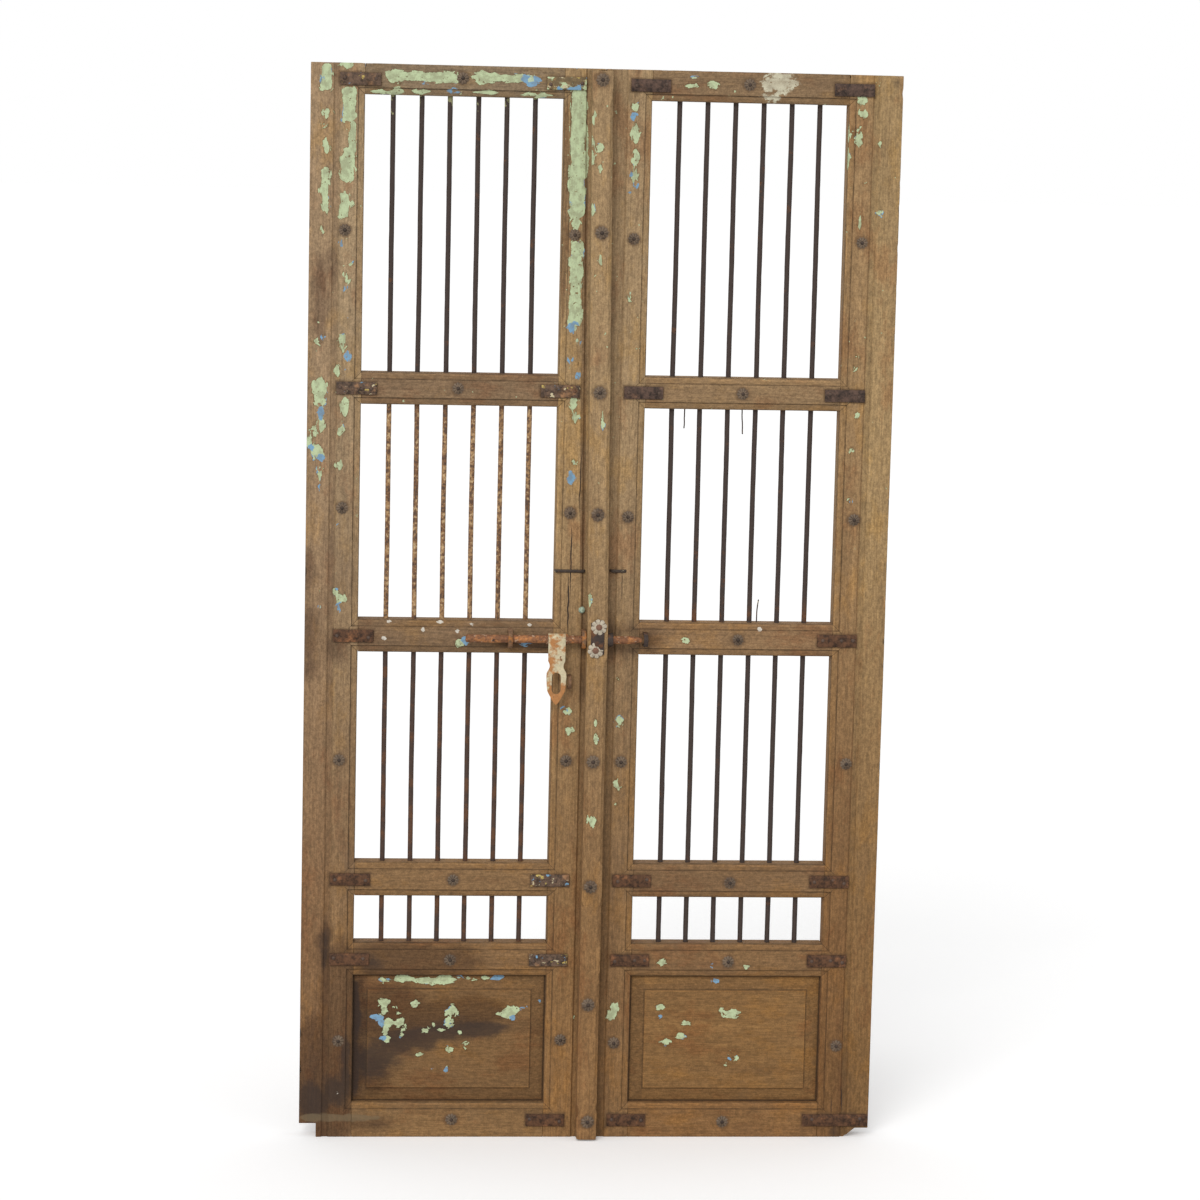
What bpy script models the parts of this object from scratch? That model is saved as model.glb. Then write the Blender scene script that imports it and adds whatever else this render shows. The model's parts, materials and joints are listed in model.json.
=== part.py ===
"""A pair of old double doors: two framed wooden leaves with iron bars, an astragal and a bolt with a hasp."""
import math

import bmesh
import bpy
from mathutils import Matrix, Vector

# The pair, in metres: +X is to the right, -Y is the front and +Z is up
LEAF_THICKNESS = 0.040
LEAF_GAP = 0.003
JOINT_OFFSET = 0.009
HANGING_STILE = 0.099
PANE_WIDTH = 0.365
CENTRE_TO_PANE = 0.081

# Rails and the openings between them, named from the floor up
BOTTOM_RAIL = 0.067
PANEL_OPENING = 0.2475
PANEL_RAIL = 0.0635
SHORT_PANE = 0.090
LOWER_RAIL = 0.065
LOWER_PANE = 0.4005
LOCK_RAIL = 0.0615
UPPER_PANE = 0.402
CROSS_RAIL = 0.0595
TOP_PANE = 0.507
TOP_RAIL = 0.0565

# Clearances: between pieces that are fixed together, round the bolt in its guides, and in its keeper
FIT = 0.0003
SLIDE_FIT = 0.0006
KEEPER_FIT = 0.0015

# Joinery of the frames
TENON_LENGTH = 0.045
TENON_THICKNESS = 0.012
TENON_SHOULDER = 0.014
MORTISE_END_GAP = 0.001

# Quirk and ovolo moulded round every opening
MOULDING_WIDTH = 0.013
MOULDING_DEPTH = 0.010
QUIRK_DEPTH = 0.0025
OVOLO_STEPS = 3
CUT_MARGIN = 0.001

# Shallow channels run down the stiles
HANGING_CHANNEL_INSET = 0.041
HANGING_CHANNEL_WIDTH = 0.015
MEETING_CHANNEL_LEFT = 0.010
MEETING_CHANNEL_RIGHT = 0.018
CHANNEL_DEPTH = 0.003
CHANNEL_SLOPE = 0.003

# Corners cut away at the foot of each hanging stile, where the pivots sat
LEFT_NOTCH_WIDTH = 0.032
LEFT_NOTCH_HEIGHT = 0.0265
RIGHT_NOTCH_WIDTH = 0.026
RIGHT_NOTCH_HEIGHT = 0.018
RIGHT_NOTCH_RUN = 0.022
PIVOT_INSET = 0.030

# Raised and fielded panel
TONGUE_LENGTH = 0.0095
TONGUE_THICKNESS = 0.008
TONGUE_DEPTH = 0.016
FIELD_MARGIN = 0.028
FIELD_STEP = 0.0025
FIELD_DEPTH = 0.0055

# Iron bars
BAR_COUNT = 6
BAR_DIAMETER = 0.0095
BAR_SEAT = 0.022
BAR_SIDES = 12

# Iron straps over the joints between stiles and rails
STRAP_HEIGHT = 0.023
STRAP_THICKNESS = 0.003
STRAP_EDGE = 0.0007
OUTER_STRAP_ON_STILE = 0.046
OUTER_STRAP_ON_RAIL = 0.029
INNER_STRAP_ON_STILE = 0.040
INNER_STRAP_ON_RAIL = 0.033
FOOT_STRAP_EDGE_GAP = 0.001

# Sliding bolt
BOLT_DIAMETER = 0.015
BOLT_LENGTH = 0.330
BOLT_STANDOFF = 0.017
BOLT_TRAVEL = 0.026
TIP_DIAMETER = 0.008
TIP_LENGTH = 0.020
END_CHAMFER = 0.002
COLLAR_DIAMETER = 0.0196
COLLAR_WIDTH = 0.004
BOLT_SIDES = 20

# Staples that guide the bolt, and the keeper that takes its tip
STAPLE_WIDTH = 0.008
STAPLE_BAR = 0.0035
STAPLE_DRIVE = 0.013
OUTER_GUIDE_ON_RAIL = 0.0813
GUIDE_TO_ASTRAGAL = 0.0015
KEEPER_ON_RAIL = 0.0104
KEEPER_CLEARANCE = 0.003
STOP_GAP = 0.0005
ARC_STEPS = 8

# Hasp, and the staple that it drops over
EYE_LENGTH = 0.032
EYE_WALL = 0.003
HASP_PLATE = 0.0026
HASP_REACH = 0.123
HASP_NECK_WIDTH = 0.025
HASP_NECK_DROP = 0.046
HASP_BELLY_WIDTH = 0.038
HASP_SLOT_WIDTH = 0.017
HASP_SLOT_HEIGHT = 0.041
HASP_SLOT_DROP = 0.082
HASP_CURVE_STEPS = 5
LOCK_STAPLE_BAR = 0.005
LOCK_STAPLE_WIDTH = 0.006
LOCK_STAPLE_INNER = 0.0085
LOCK_STAPLE_CLEARANCE = 0.0012

# Astragal on the left leaf, which covers the joint; both lean to the left above the lock rail, by this share
JOINT_LEAN = 0.0134
ASTRAGAL_WIDTH = 0.038
ASTRAGAL_SEAT = 0.0005
ASTRAGAL_END_GAP = 0.003
ASTRAGAL_COVER = 0.003
CHAMFER = 0.006
ARRIS = 0.0005
CHAMFER_STOP = 0.012

# Ferrule that lines the bolt's hole through the astragal
FERRULE_WALL = 0.0016
FERRULE_FLANGE = 0.026
FERRULE_STAND = 0.0105

# Plate over the bolt's hole, held by two flower washers
COVER_WIDTH = 0.030
COVER_HEIGHT = 0.060
COVER_PLATE = 0.0025
FLOWER_DIAMETER = 0.031
FLOWER_SPACING = 0.044
FLOWER_PETALS = 8
FLOWER_LOBE = 0.12
FLOWER_POINTS = 48
FLOWER_THICKNESS = 0.002
NAIL_HEAD = 0.011
NAIL_RISE = 0.0035
NAIL_SEGMENTS = 12
NAIL_RINGS = 6
BURY = 0.0005

# Tolerances of the modelling
WELD = 1e-6
TURN_WELD = 1e-5
SMOOTH_ANGLE = 35

# Places that follow from the sizes above
PANE_INNER = CENTRE_TO_PANE
PANE_OUTER = PANE_INNER + PANE_WIDTH
HALF_WIDTH = PANE_OUTER + HANGING_STILE
BOLT_RADIUS = BOLT_DIAMETER / 2
GUIDE_RADIUS = BOLT_RADIUS + SLIDE_FIT
FERRULE_RADIUS = GUIDE_RADIUS + FERRULE_WALL
ASTRAGAL_FRONT = BOLT_STANDOFF + FERRULE_RADIUS + FIT + ASTRAGAL_COVER
COVER_FRONT = ASTRAGAL_FRONT + FIT + COVER_PLATE
PROUD = COVER_FRONT + FLOWER_THICKNESS + NAIL_RISE
FRONT = (PROUD - LEAF_THICKNESS) / 2
BACK = FRONT + LEAF_THICKNESS
MIDDLE = FRONT + LEAF_THICKNESS / 2
BOLT_Y = FRONT - BOLT_STANDOFF
HALF_ASTRAGAL = ASTRAGAL_WIDTH / 2
INNER_GUIDE_X = -(HALF_ASTRAGAL + GUIDE_TO_ASTRAGAL + STAPLE_WIDTH / 2)
OUTER_GUIDE_X = -(PANE_INNER + OUTER_GUIDE_ON_RAIL)
KEEPER_X = PANE_INNER + KEEPER_ON_RAIL
HASP_LOCKED_X = INNER_GUIDE_X - STAPLE_WIDTH / 2 - STOP_GAP - COLLAR_WIDTH - FIT - EYE_LENGTH / 2
HASP_X = HASP_LOCKED_X - BOLT_TRAVEL
BOLT_TIP_X = KEEPER_X - STAPLE_WIDTH / 2 - KEEPER_CLEARANCE
EYE_BORE = BOLT_RADIUS + FIT

RAILS = (
    ("bottom_rail", BOTTOM_RAIL),
    ("panel_rail", PANEL_RAIL),
    ("lower_rail", LOWER_RAIL),
    ("lock_rail", LOCK_RAIL),
    ("cross_rail", CROSS_RAIL),
    ("top_rail", TOP_RAIL),
)
OPENINGS = (PANEL_OPENING, SHORT_PANE, LOWER_PANE, UPPER_PANE, TOP_PANE)
LEFT, RIGHT = -1, 1
SIDE_NAMES = {LEFT: "left", RIGHT: "right"}
OUTER_STRAPS = {
    LEFT: ("top_rail", "cross_rail", "lock_rail", "lower_rail", "panel_rail"),
    RIGHT: ("top_rail", "cross_rail", "lock_rail", "lower_rail", "panel_rail", "bottom_rail"),
}
INNER_STRAPS = ("top_rail", "cross_rail", "lower_rail", "panel_rail", "bottom_rail")


def stack():
    """Works out each rail's and each opening's lower and upper edge, from the floor up."""
    rails = {}
    openings = []
    z = 0.0
    for index, (name, height) in enumerate(RAILS):
        rails[name] = (z, z + height)
        z += height
        if index < len(OPENINGS):
            openings.append((z, z + OPENINGS[index]))
            z += OPENINGS[index]
    return rails, openings


RAIL_EDGES, OPENING_EDGES = stack()
PAIR_HEIGHT = RAIL_EDGES["top_rail"][1]
LOCK_Z = sum(RAIL_EDGES["lock_rail"]) / 2
LOCK_STAPLE_Z = LOCK_Z - HASP_SLOT_DROP


# Scene, collections and materials
for old in list(bpy.data.objects):
    bpy.data.objects.remove(old)


def new_collection(name):
    """Makes a collection in the scene."""
    collection = bpy.data.collections.new(name)
    bpy.context.scene.collection.children.link(collection)
    return collection


PARTS = new_collection("jali_doors")
CUTTERS = new_collection("jali_doors_cutters")


def new_material(name, colour, roughness, metallic):
    """Makes a plain Principled material."""
    material = bpy.data.materials.new(name)
    material.use_nodes = True
    shader = material.node_tree.nodes["Principled BSDF"]
    shader.inputs["Base Color"].default_value = (*colour, 1.0)
    shader.inputs["Roughness"].default_value = roughness
    shader.inputs["Metallic"].default_value = metallic
    return material


WOOD = new_material("aged_wood", (0.25, 0.15, 0.085), 0.75, 0.0)
DARK_IRON = new_material("dark_iron", (0.05, 0.035, 0.028), 0.6, 0.6)
RUSTED_IRON = new_material("rusted_iron", (0.26, 0.11, 0.045), 0.75, 0.4)
PAINTED_IRON = new_material("painted_iron", (0.6, 0.54, 0.4), 0.6, 0.1)


# Modelling helpers
def span(a, b):
    """Returns two values in rising order."""
    return min(a, b), max(a, b)


def add_box(bm, low, high):
    """Adds a box between two opposite corners."""
    low, high = Vector(low), Vector(high)
    size = Matrix.Diagonal((*(high - low), 1.0))
    bmesh.ops.create_cube(bm, size=1.0, matrix=Matrix.Translation((low + high) / 2) @ size)


def add_cylinder(bm, centre, axis, radius, length, sides):
    """Adds a closed cylinder round an axis."""
    turn = Vector((0, 0, 1)).rotation_difference(Vector(axis)).to_matrix().to_4x4()
    place = Matrix.Translation(centre) @ turn
    bmesh.ops.create_cone(bm, cap_ends=True, segments=sides, radius1=radius, radius2=radius,
                          depth=length, matrix=place)


def add_loft(bm, rings):
    """Skins closed sections that have the same number of points, and caps both ends."""
    loops = [[bm.verts.new(point) for point in ring] for ring in rings]
    for lower, upper in zip(loops, loops[1:]):
        for i, vertex in enumerate(lower):
            j = (i + 1) % len(lower)
            bm.faces.new((vertex, lower[j], upper[j], upper[i]))
    bm.faces.new(loops[0][::-1])
    bm.faces.new(loops[-1])


def finish_object(name, bm, material=None, origin=(0, 0, 0)):
    """Turns a bmesh in world places into an object: a part if it has a material, else a cutter."""
    bmesh.ops.recalc_face_normals(bm, faces=bm.faces)
    bmesh.ops.translate(bm, verts=bm.verts, vec=-Vector(origin))
    mesh = bpy.data.meshes.new(name)
    bm.to_mesh(mesh)
    bm.free()
    obj = bpy.data.objects.new(name, mesh)
    obj.location = origin
    if material:
        mesh.materials.append(material)
        PARTS.objects.link(obj)
    else:
        obj.hide_render = True
        obj.display_type = "WIRE"
        CUTTERS.objects.link(obj)
    return obj


def add_prism(bm, splines, depth, axes, place):
    """Adds a solid from flat outlines, `depth` thick; `axes` are the world directions of its x, y and z."""
    curve = bpy.data.curves.new("outline", "CURVE")
    curve.dimensions = "2D"
    curve.fill_mode = "BOTH"
    curve.extrude = depth / 2
    for fill_spline in splines:
        fill_spline(curve)
    holder = bpy.data.objects.new("outline", curve)
    CUTTERS.objects.link(holder)
    graph = bpy.context.evaluated_depsgraph_get()
    mesh = bpy.data.meshes.new_from_object(holder.evaluated_get(graph), depsgraph=graph)
    bpy.data.objects.remove(holder)
    mesh.transform(Matrix.Translation(place) @ Matrix(axes).transposed().to_4x4())
    old = set(bm.verts)
    bm.from_mesh(mesh)
    bpy.data.meshes.remove(mesh)
    bmesh.ops.remove_doubles(bm, verts=[v for v in bm.verts if v not in old], dist=WELD)


def polygon(points):
    """Makes a closed outline with straight sides."""
    def fill(curve):
        spline = curve.splines.new("POLY")
        spline.points.add(len(points) - 1)
        for target, (x, y) in zip(spline.points, points):
            target.co = (x, y, 0.0, 1.0)
        spline.use_cyclic_u = True
    return fill


def smooth_outline(points, corners, resolution):
    """Makes a closed smooth outline, with sharp corners at the listed points."""
    def fill(curve):
        curve.resolution_u = resolution
        spline = curve.splines.new("BEZIER")
        spline.bezier_points.add(len(points) - 1)
        for index, (target, (x, y)) in enumerate(zip(spline.bezier_points, points)):
            target.co = (x, y, 0.0)
            handle = "VECTOR" if index in corners else "AUTO"
            target.handle_left_type = handle
            target.handle_right_type = handle
        spline.use_cyclic_u = True
    return fill


def arc(radius, start, end, centre=(0.0, 0.0), steps=ARC_STEPS):
    """Returns points on an arc, with its angles in degrees."""
    angles = [math.radians(start + (end - start) * i / steps) for i in range(steps + 1)]
    return [(centre[0] + radius * math.cos(a), centre[1] + radius * math.sin(a)) for a in angles]


ALONG_Z = ((1, 0, 0), (0, 1, 0), (0, 0, 1))
FACING_FRONT = ((1, 0, 0), (0, 0, 1), (0, -1, 0))
ALONG_X = ((0, -1, 0), (0, 0, 1), (-1, 0, 0))


def boolean(obj, tool, operation):
    """Adds a live Boolean."""
    modifier = obj.modifiers.new(tool.name, "BOOLEAN")
    modifier.operation = operation
    modifier.object = tool
    modifier.solver = "EXACT"


def cut(obj, *tools):
    """Cuts tools out of an object."""
    for tool in tools:
        boolean(obj, tool, "DIFFERENCE")


def soften(obj, width):
    """Bevels the sharp edges of a metal piece."""
    modifier = obj.modifiers.new("edges", "BEVEL")
    modifier.width = width
    modifier.segments = 1
    modifier.limit_method = "ANGLE"


def smooth(obj):
    """Shades a round piece smooth between its sharp edges."""
    obj.data.shade_smooth()
    obj.data.set_sharp_from_angle(angle=math.radians(SMOOTH_ANGLE))


# Cutters that a leaf's pieces share
def meeting_edge(side):
    """Returns where a leaf ends at the joint between the leaves."""
    return JOINT_OFFSET + side * LEAF_GAP / 2


def joint_lean(z):
    """Returns how far the joint has leant at a height; it is plumb up to the top of the lock rail."""
    return -JOINT_LEAN * max(0.0, z - RAIL_EDGES["lock_rail"][1])


def moulding_profile():
    """Lists the moulding's section as steps outwards from an opening's edge and depths from the face."""
    run = MOULDING_WIDTH - CUT_MARGIN
    steps = [(MOULDING_WIDTH, -CUT_MARGIN), (MOULDING_WIDTH, QUIRK_DEPTH)]
    for i in range(OVOLO_STEPS + 1):
        turn = math.radians(90) * i / OVOLO_STEPS
        rise = (MOULDING_DEPTH - QUIRK_DEPTH) * (1 - math.cos(turn))
        steps.append((run - (run + CUT_MARGIN) * math.sin(turn), QUIRK_DEPTH + rise))
    return steps


def moulding_cutter(side):
    """Makes the shape that moulds the edges of a leaf's openings, with mitred corners."""
    bm = bmesh.new()
    x0, x1 = span(side * PANE_OUTER, side * PANE_INNER)
    for z0, z1 in OPENING_EDGES:
        rings = []
        for out, depth in moulding_profile():
            corners = ((x0 - out, z0 - out), (x1 + out, z0 - out), (x1 + out, z1 + out), (x0 - out, z1 + out))
            rings.append([(x, FRONT + depth, z) for x, z in corners])
        add_loft(bm, rings)
    return finish_object(SIDE_NAMES[side] + "_mouldings", bm)


def tenon_box(side, rail, extra=0.0, end_gap=0.0):
    """Returns the corners of a rail's tenons, which run from stile to stile."""
    z0, z1 = RAIL_EDGES[rail]
    x0, x1 = span(side * PANE_OUTER, side * PANE_INNER)
    reach = TENON_LENGTH + end_gap
    low = (x0 - reach, MIDDLE - TENON_THICKNESS / 2 - extra, z0 + TENON_SHOULDER - extra)
    high = (x1 + reach, MIDDLE + TENON_THICKNESS / 2 + extra, z1 - TENON_SHOULDER + extra)
    return low, high


def mortise_cutter(side):
    """Makes the shape that cuts a leaf's mortises."""
    bm = bmesh.new()
    for rail, _ in RAILS:
        add_box(bm, *tenon_box(side, rail, FIT, MORTISE_END_GAP))
    return finish_object(SIDE_NAMES[side] + "_mortises", bm)


def bar_places(side):
    """Returns the x of each bar, evenly spaced across the panes."""
    pitch = PANE_WIDTH / (BAR_COUNT + 1)
    return [side * (PANE_INNER + pitch * (i + 1)) for i in range(BAR_COUNT)]


BAR_LOW = RAIL_EDGES["panel_rail"][1] - BAR_SEAT
BAR_HIGH = RAIL_EDGES["top_rail"][0] + BAR_SEAT


def add_bar(bm, x, extra=0.0):
    """Adds one bar's cylinder."""
    centre = (x, MIDDLE, (BAR_LOW + BAR_HIGH) / 2)
    length = BAR_HIGH - BAR_LOW + 2 * extra
    add_cylinder(bm, centre, (0, 0, 1), BAR_DIAMETER / 2 + extra, length, BAR_SIDES)


def bar_cutter(side):
    """Makes the shape that drills a leaf's rails for the bars."""
    bm = bmesh.new()
    for x in bar_places(side):
        add_bar(bm, x, FIT)
    return finish_object(SIDE_NAMES[side] + "_bar_holes", bm)


def groove_cutter(side):
    """Makes the shape that grooves the frame for the panel's tongue."""
    bm = bmesh.new()
    x0, x1 = span(side * PANE_OUTER, side * PANE_INNER)
    z0, z1 = OPENING_EDGES[0]
    reach = TONGUE_LENGTH + FIT
    front = FRONT + TONGUE_DEPTH - FIT
    add_box(bm, (x0 - reach, front, z0 - reach),
            (x1 + reach, front + TONGUE_THICKNESS + 2 * FIT, z1 + reach))
    return finish_object(SIDE_NAMES[side] + "_panel_groove", bm)


def notch_cutter(side):
    """Makes the shape that cuts the foot of a hanging stile."""
    edge = HALF_WIDTH + CUT_MARGIN
    if side == LEFT:
        inner = HALF_WIDTH - LEFT_NOTCH_WIDTH
        outline = [(edge, -CUT_MARGIN), (edge, LEFT_NOTCH_HEIGHT), (inner, LEFT_NOTCH_HEIGHT),
                   (inner, -CUT_MARGIN)]
    else:
        inner = HALF_WIDTH - RIGHT_NOTCH_WIDTH
        slope = RIGHT_NOTCH_RUN / RIGHT_NOTCH_HEIGHT
        foot = inner - RIGHT_NOTCH_RUN - slope * CUT_MARGIN
        outline = [(edge, -CUT_MARGIN), (edge, RIGHT_NOTCH_HEIGHT), (inner, RIGHT_NOTCH_HEIGHT),
                   (foot, -CUT_MARGIN)]
    bm = bmesh.new()
    points = [(side * x, z) for x, z in outline]
    add_prism(bm, [polygon(points)], LEAF_THICKNESS + 2 * CUT_MARGIN, FACING_FRONT, (0, MIDDLE, 0))
    return finish_object(SIDE_NAMES[side] + "_foot_notch", bm)


# Pieces of a leaf
def channelled_section(edge_a, edge_b, channel_a, channel_b):
    """Outlines a stile's section with a shallow channel in its front face, between two places."""
    floor = FRONT + CHANNEL_DEPTH
    step = math.copysign(CHANNEL_SLOPE, channel_b - channel_a)
    return [(edge_a, FRONT), (channel_a, FRONT), (channel_a + step, floor), (channel_b - step, floor),
            (channel_b, FRONT), (edge_b, FRONT), (edge_b, BACK), (edge_a, BACK)]


def hanging_stile(side):
    """Makes the stile on a leaf's outer edge."""
    outer = HALF_WIDTH - HANGING_CHANNEL_INSET
    inner = outer - HANGING_CHANNEL_WIDTH
    section = channelled_section(side * HALF_WIDTH, side * PANE_OUTER, side * outer, side * inner)
    bm = bmesh.new()
    add_prism(bm, [polygon(section)], PAIR_HEIGHT, ALONG_Z, (0, 0, PAIR_HEIGHT / 2))
    return finish_object(SIDE_NAMES[side] + "_hanging_stile", bm, WOOD)


def meeting_stile(side):
    """Makes the stile at the joint; its channel runs beside the astragal and a little under its edge."""
    width = MEETING_CHANNEL_LEFT if side == LEFT else MEETING_CHANNEL_RIGHT
    outer = HALF_ASTRAGAL + width
    inner = HALF_ASTRAGAL - CHANNEL_SLOPE
    rings = []
    for z in (0.0, RAIL_EDGES["lock_rail"][1], PAIR_HEIGHT):
        lean = joint_lean(z)
        outer_lean = lean if side == LEFT else 0.0
        section = channelled_section(side * PANE_INNER, meeting_edge(side) + lean,
                                     side * outer + outer_lean, side * inner + lean)
        rings.append([(x, y, z) for x, y in section])
    bm = bmesh.new()
    add_loft(bm, rings)
    return finish_object(SIDE_NAMES[side] + "_meeting_stile", bm, WOOD)


def rail(side, name):
    """Makes a rail between the stiles, with a tenon at each end."""
    z0, z1 = RAIL_EDGES[name]
    x0, x1 = span(side * PANE_OUTER, side * PANE_INNER)
    bm = bmesh.new()
    add_box(bm, (x0 + FIT, FRONT, z0), (x1 - FIT, BACK, z1))
    obj = finish_object(SIDE_NAMES[side] + "_" + name, bm, WOOD)
    tenons = bmesh.new()
    add_box(tenons, *tenon_box(side, name))
    boolean(obj, finish_object(obj.name + "_tenons", tenons), "UNION")
    return obj


def panel(side):
    """Makes the raised and fielded panel, with a tongue all round that sits in the frame's groove."""
    x0, x1 = span(side * PANE_OUTER, side * PANE_INNER)
    z0, z1 = OPENING_EDGES[0]
    back = TONGUE_DEPTH + TONGUE_THICKNESS
    steps = ((TONGUE_LENGTH, back), (TONGUE_LENGTH, TONGUE_DEPTH), (-FIT, TONGUE_DEPTH),
             (-FIELD_MARGIN, FIELD_DEPTH + FIELD_STEP), (-FIELD_MARGIN, FIELD_DEPTH))
    rings = []
    for out, depth in steps:
        corners = ((x0 - out, z0 - out), (x1 + out, z0 - out), (x1 + out, z1 + out), (x0 - out, z1 + out))
        rings.append([(x, FRONT + depth, z) for x, z in corners])
    bm = bmesh.new()
    add_loft(bm, rings)
    return finish_object(SIDE_NAMES[side] + "_panel", bm, WOOD)


def bars(side):
    """Makes the bars that run through the rails, numbered from the joint outwards."""
    made = []
    for number, x in enumerate(bar_places(side), start=1):
        bm = bmesh.new()
        add_bar(bm, x)
        bar = finish_object(f"{SIDE_NAMES[side]}_bar_{number}", bm, DARK_IRON)
        smooth(bar)
        made.append(bar)
    return made


def strap(side, name, end_a, end_b, z):
    """Makes one iron strap flat on the leaf's face."""
    x0, x1 = span(side * end_a, side * end_b)
    back = FRONT - FIT
    bm = bmesh.new()
    add_box(bm, (x0, back - STRAP_THICKNESS, z - STRAP_HEIGHT / 2), (x1, back, z + STRAP_HEIGHT / 2))
    obj = finish_object(f"{SIDE_NAMES[side]}_strap_{name}", bm, DARK_IRON)
    soften(obj, STRAP_EDGE)
    return obj


def straps(side):
    """Makes a leaf's straps, centred on the rails; the right foot's one reaches the leaf's outer edge."""
    made = []
    for name in OUTER_STRAPS[side]:
        on_stile = OUTER_STRAP_ON_STILE
        if name == "bottom_rail":
            on_stile = HANGING_STILE - FOOT_STRAP_EDGE_GAP
        ends = (PANE_OUTER - OUTER_STRAP_ON_RAIL, PANE_OUTER + on_stile)
        made.append(strap(side, name + "_outer", *ends, sum(RAIL_EDGES[name]) / 2))
    for name in INNER_STRAPS:
        ends = (PANE_INNER - INNER_STRAP_ON_STILE, PANE_INNER + INNER_STRAP_ON_RAIL)
        made.append(strap(side, name + "_inner", *ends, sum(RAIL_EDGES[name]) / 2))
    return made


def leaf(side):
    """Builds a leaf's frame, panel, bars and straps."""
    mouldings = moulding_cutter(side)
    mortises = mortise_cutter(side)
    bar_holes = bar_cutter(side)
    groove = groove_cutter(side)
    pieces = {}
    for obj in (hanging_stile(side), meeting_stile(side)):
        cut(obj, mortises, mouldings, groove)
        pieces[obj.name] = obj
    cut(pieces[SIDE_NAMES[side] + "_hanging_stile"], notch_cutter(side))
    for name, _ in RAILS:
        obj = rail(side, name)
        cut(obj, mouldings)
        if name != "bottom_rail":
            cut(obj, bar_holes)
        if name in ("bottom_rail", "panel_rail"):
            cut(obj, groove)
        pieces[obj.name] = obj
    for obj in [panel(side)] + bars(side) + straps(side):
        pieces[obj.name] = obj
    return pieces


# Ironwork of the bolt
def staple_outline(inner, bar, reach, drive):
    """Outlines a U bent round the origin, with legs that run back past the face, `reach` behind it."""
    back = -(reach + drive)
    outer = inner + bar
    points = [(back, -outer)] + arc(outer, -90, 90) + [(back, outer), (back, inner)]
    return points + arc(inner, 90, -90) + [(back, -inner)]


def staple(name, x, z, inner, bar, width, reach, material, wood):
    """Makes a staple driven into a wooden piece, and the two holes for its legs."""
    bm = bmesh.new()
    outline = staple_outline(inner, bar, reach, STAPLE_DRIVE)
    add_prism(bm, [polygon(outline)], width, ALONG_X, (x, FRONT - reach, z))
    obj = finish_object(name, bm, material)
    smooth(obj)
    holes = bmesh.new()
    half = width / 2 + FIT
    for edge in (inner, -inner - bar):
        add_box(holes, (x - half, FRONT - CUT_MARGIN, z + edge - FIT),
                (x + half, FRONT + STAPLE_DRIVE + FIT, z + edge + bar + FIT))
    cut(wood, finish_object(name + "_holes", holes))
    return obj


def bolt_staple(name, x, clearance, wood):
    """Makes a staple that the bolt slides in."""
    return staple(name, x, LOCK_Z, BOLT_RADIUS + clearance, STAPLE_BAR, STAPLE_WIDTH, BOLT_STANDOFF,
                  RUSTED_IRON, wood)


def lock_staple(wood):
    """Makes the staple that the hasp drops over; the hasp clears it while it hangs plumb."""
    crown = BOLT_STANDOFF + EYE_BORE + (EYE_WALL - HASP_PLATE) / 2 - LOCK_STAPLE_CLEARANCE
    reach = crown - LOCK_STAPLE_BAR - LOCK_STAPLE_INNER
    return staple("lock_staple", HASP_LOCKED_X, LOCK_STAPLE_Z, LOCK_STAPLE_INNER, LOCK_STAPLE_BAR,
                  LOCK_STAPLE_WIDTH, reach, RUSTED_IRON, wood)


def turned(name, profile, origin, material):
    """Turns a profile of radii and places along +X, listed from right to left, round the bolt's axis."""
    bm = bmesh.new()
    points = [bm.verts.new((radius, 0.0, along)) for radius, along in profile]
    for a, b in zip(points, points[1:]):
        bm.edges.new((a, b))
    mesh = bpy.data.meshes.new(name)
    bm.to_mesh(mesh)
    bm.free()
    mesh.materials.append(material)
    obj = bpy.data.objects.new(name, mesh)
    PARTS.objects.link(obj)
    obj.location = origin
    obj.rotation_euler = (0.0, math.radians(90), 0.0)
    screw = obj.modifiers.new("turn", "SCREW")
    screw.axis = "Z"
    screw.steps = BOLT_SIDES
    screw.render_steps = BOLT_SIDES
    screw.use_merge_vertices = True
    screw.merge_threshold = TURN_WELD
    screw.use_smooth_shade = False
    return obj


def bolt_rod():
    """Makes the bolt, with a tapered tip and a collar on each side of the hasp's eye."""
    tip = BOLT_TIP_X - HASP_X
    end = tip - BOLT_LENGTH
    seat = EYE_LENGTH / 2 + FIT
    collar = COLLAR_DIAMETER / 2
    profile = [(0.0, tip), (TIP_DIAMETER / 2, tip), (BOLT_RADIUS, tip - TIP_LENGTH)]
    for inner, outer in ((seat + COLLAR_WIDTH, seat), (-seat, -seat - COLLAR_WIDTH)):
        profile += [(BOLT_RADIUS, inner), (collar, inner), (collar, outer), (BOLT_RADIUS, outer)]
    profile += [(BOLT_RADIUS, end + END_CHAMFER), (BOLT_RADIUS - END_CHAMFER, end), (0.0, end)]
    return turned("bolt_rod", profile, (HASP_X, BOLT_Y, LOCK_Z), RUSTED_IRON)


def ferrule():
    """Makes the iron ferrule in the astragal, with a flange on its right side."""
    seat = HALF_ASTRAGAL + FIT
    flange = FERRULE_FLANGE / 2
    profile = [(GUIDE_RADIUS, seat + FERRULE_STAND), (flange, seat + FERRULE_STAND), (flange, seat),
               (FERRULE_RADIUS, seat), (FERRULE_RADIUS, -HALF_ASTRAGAL), (GUIDE_RADIUS, -HALF_ASTRAGAL)]
    return turned("bolt_ferrule", profile + profile[:1], (0, BOLT_Y, LOCK_Z), DARK_IRON)


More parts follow.
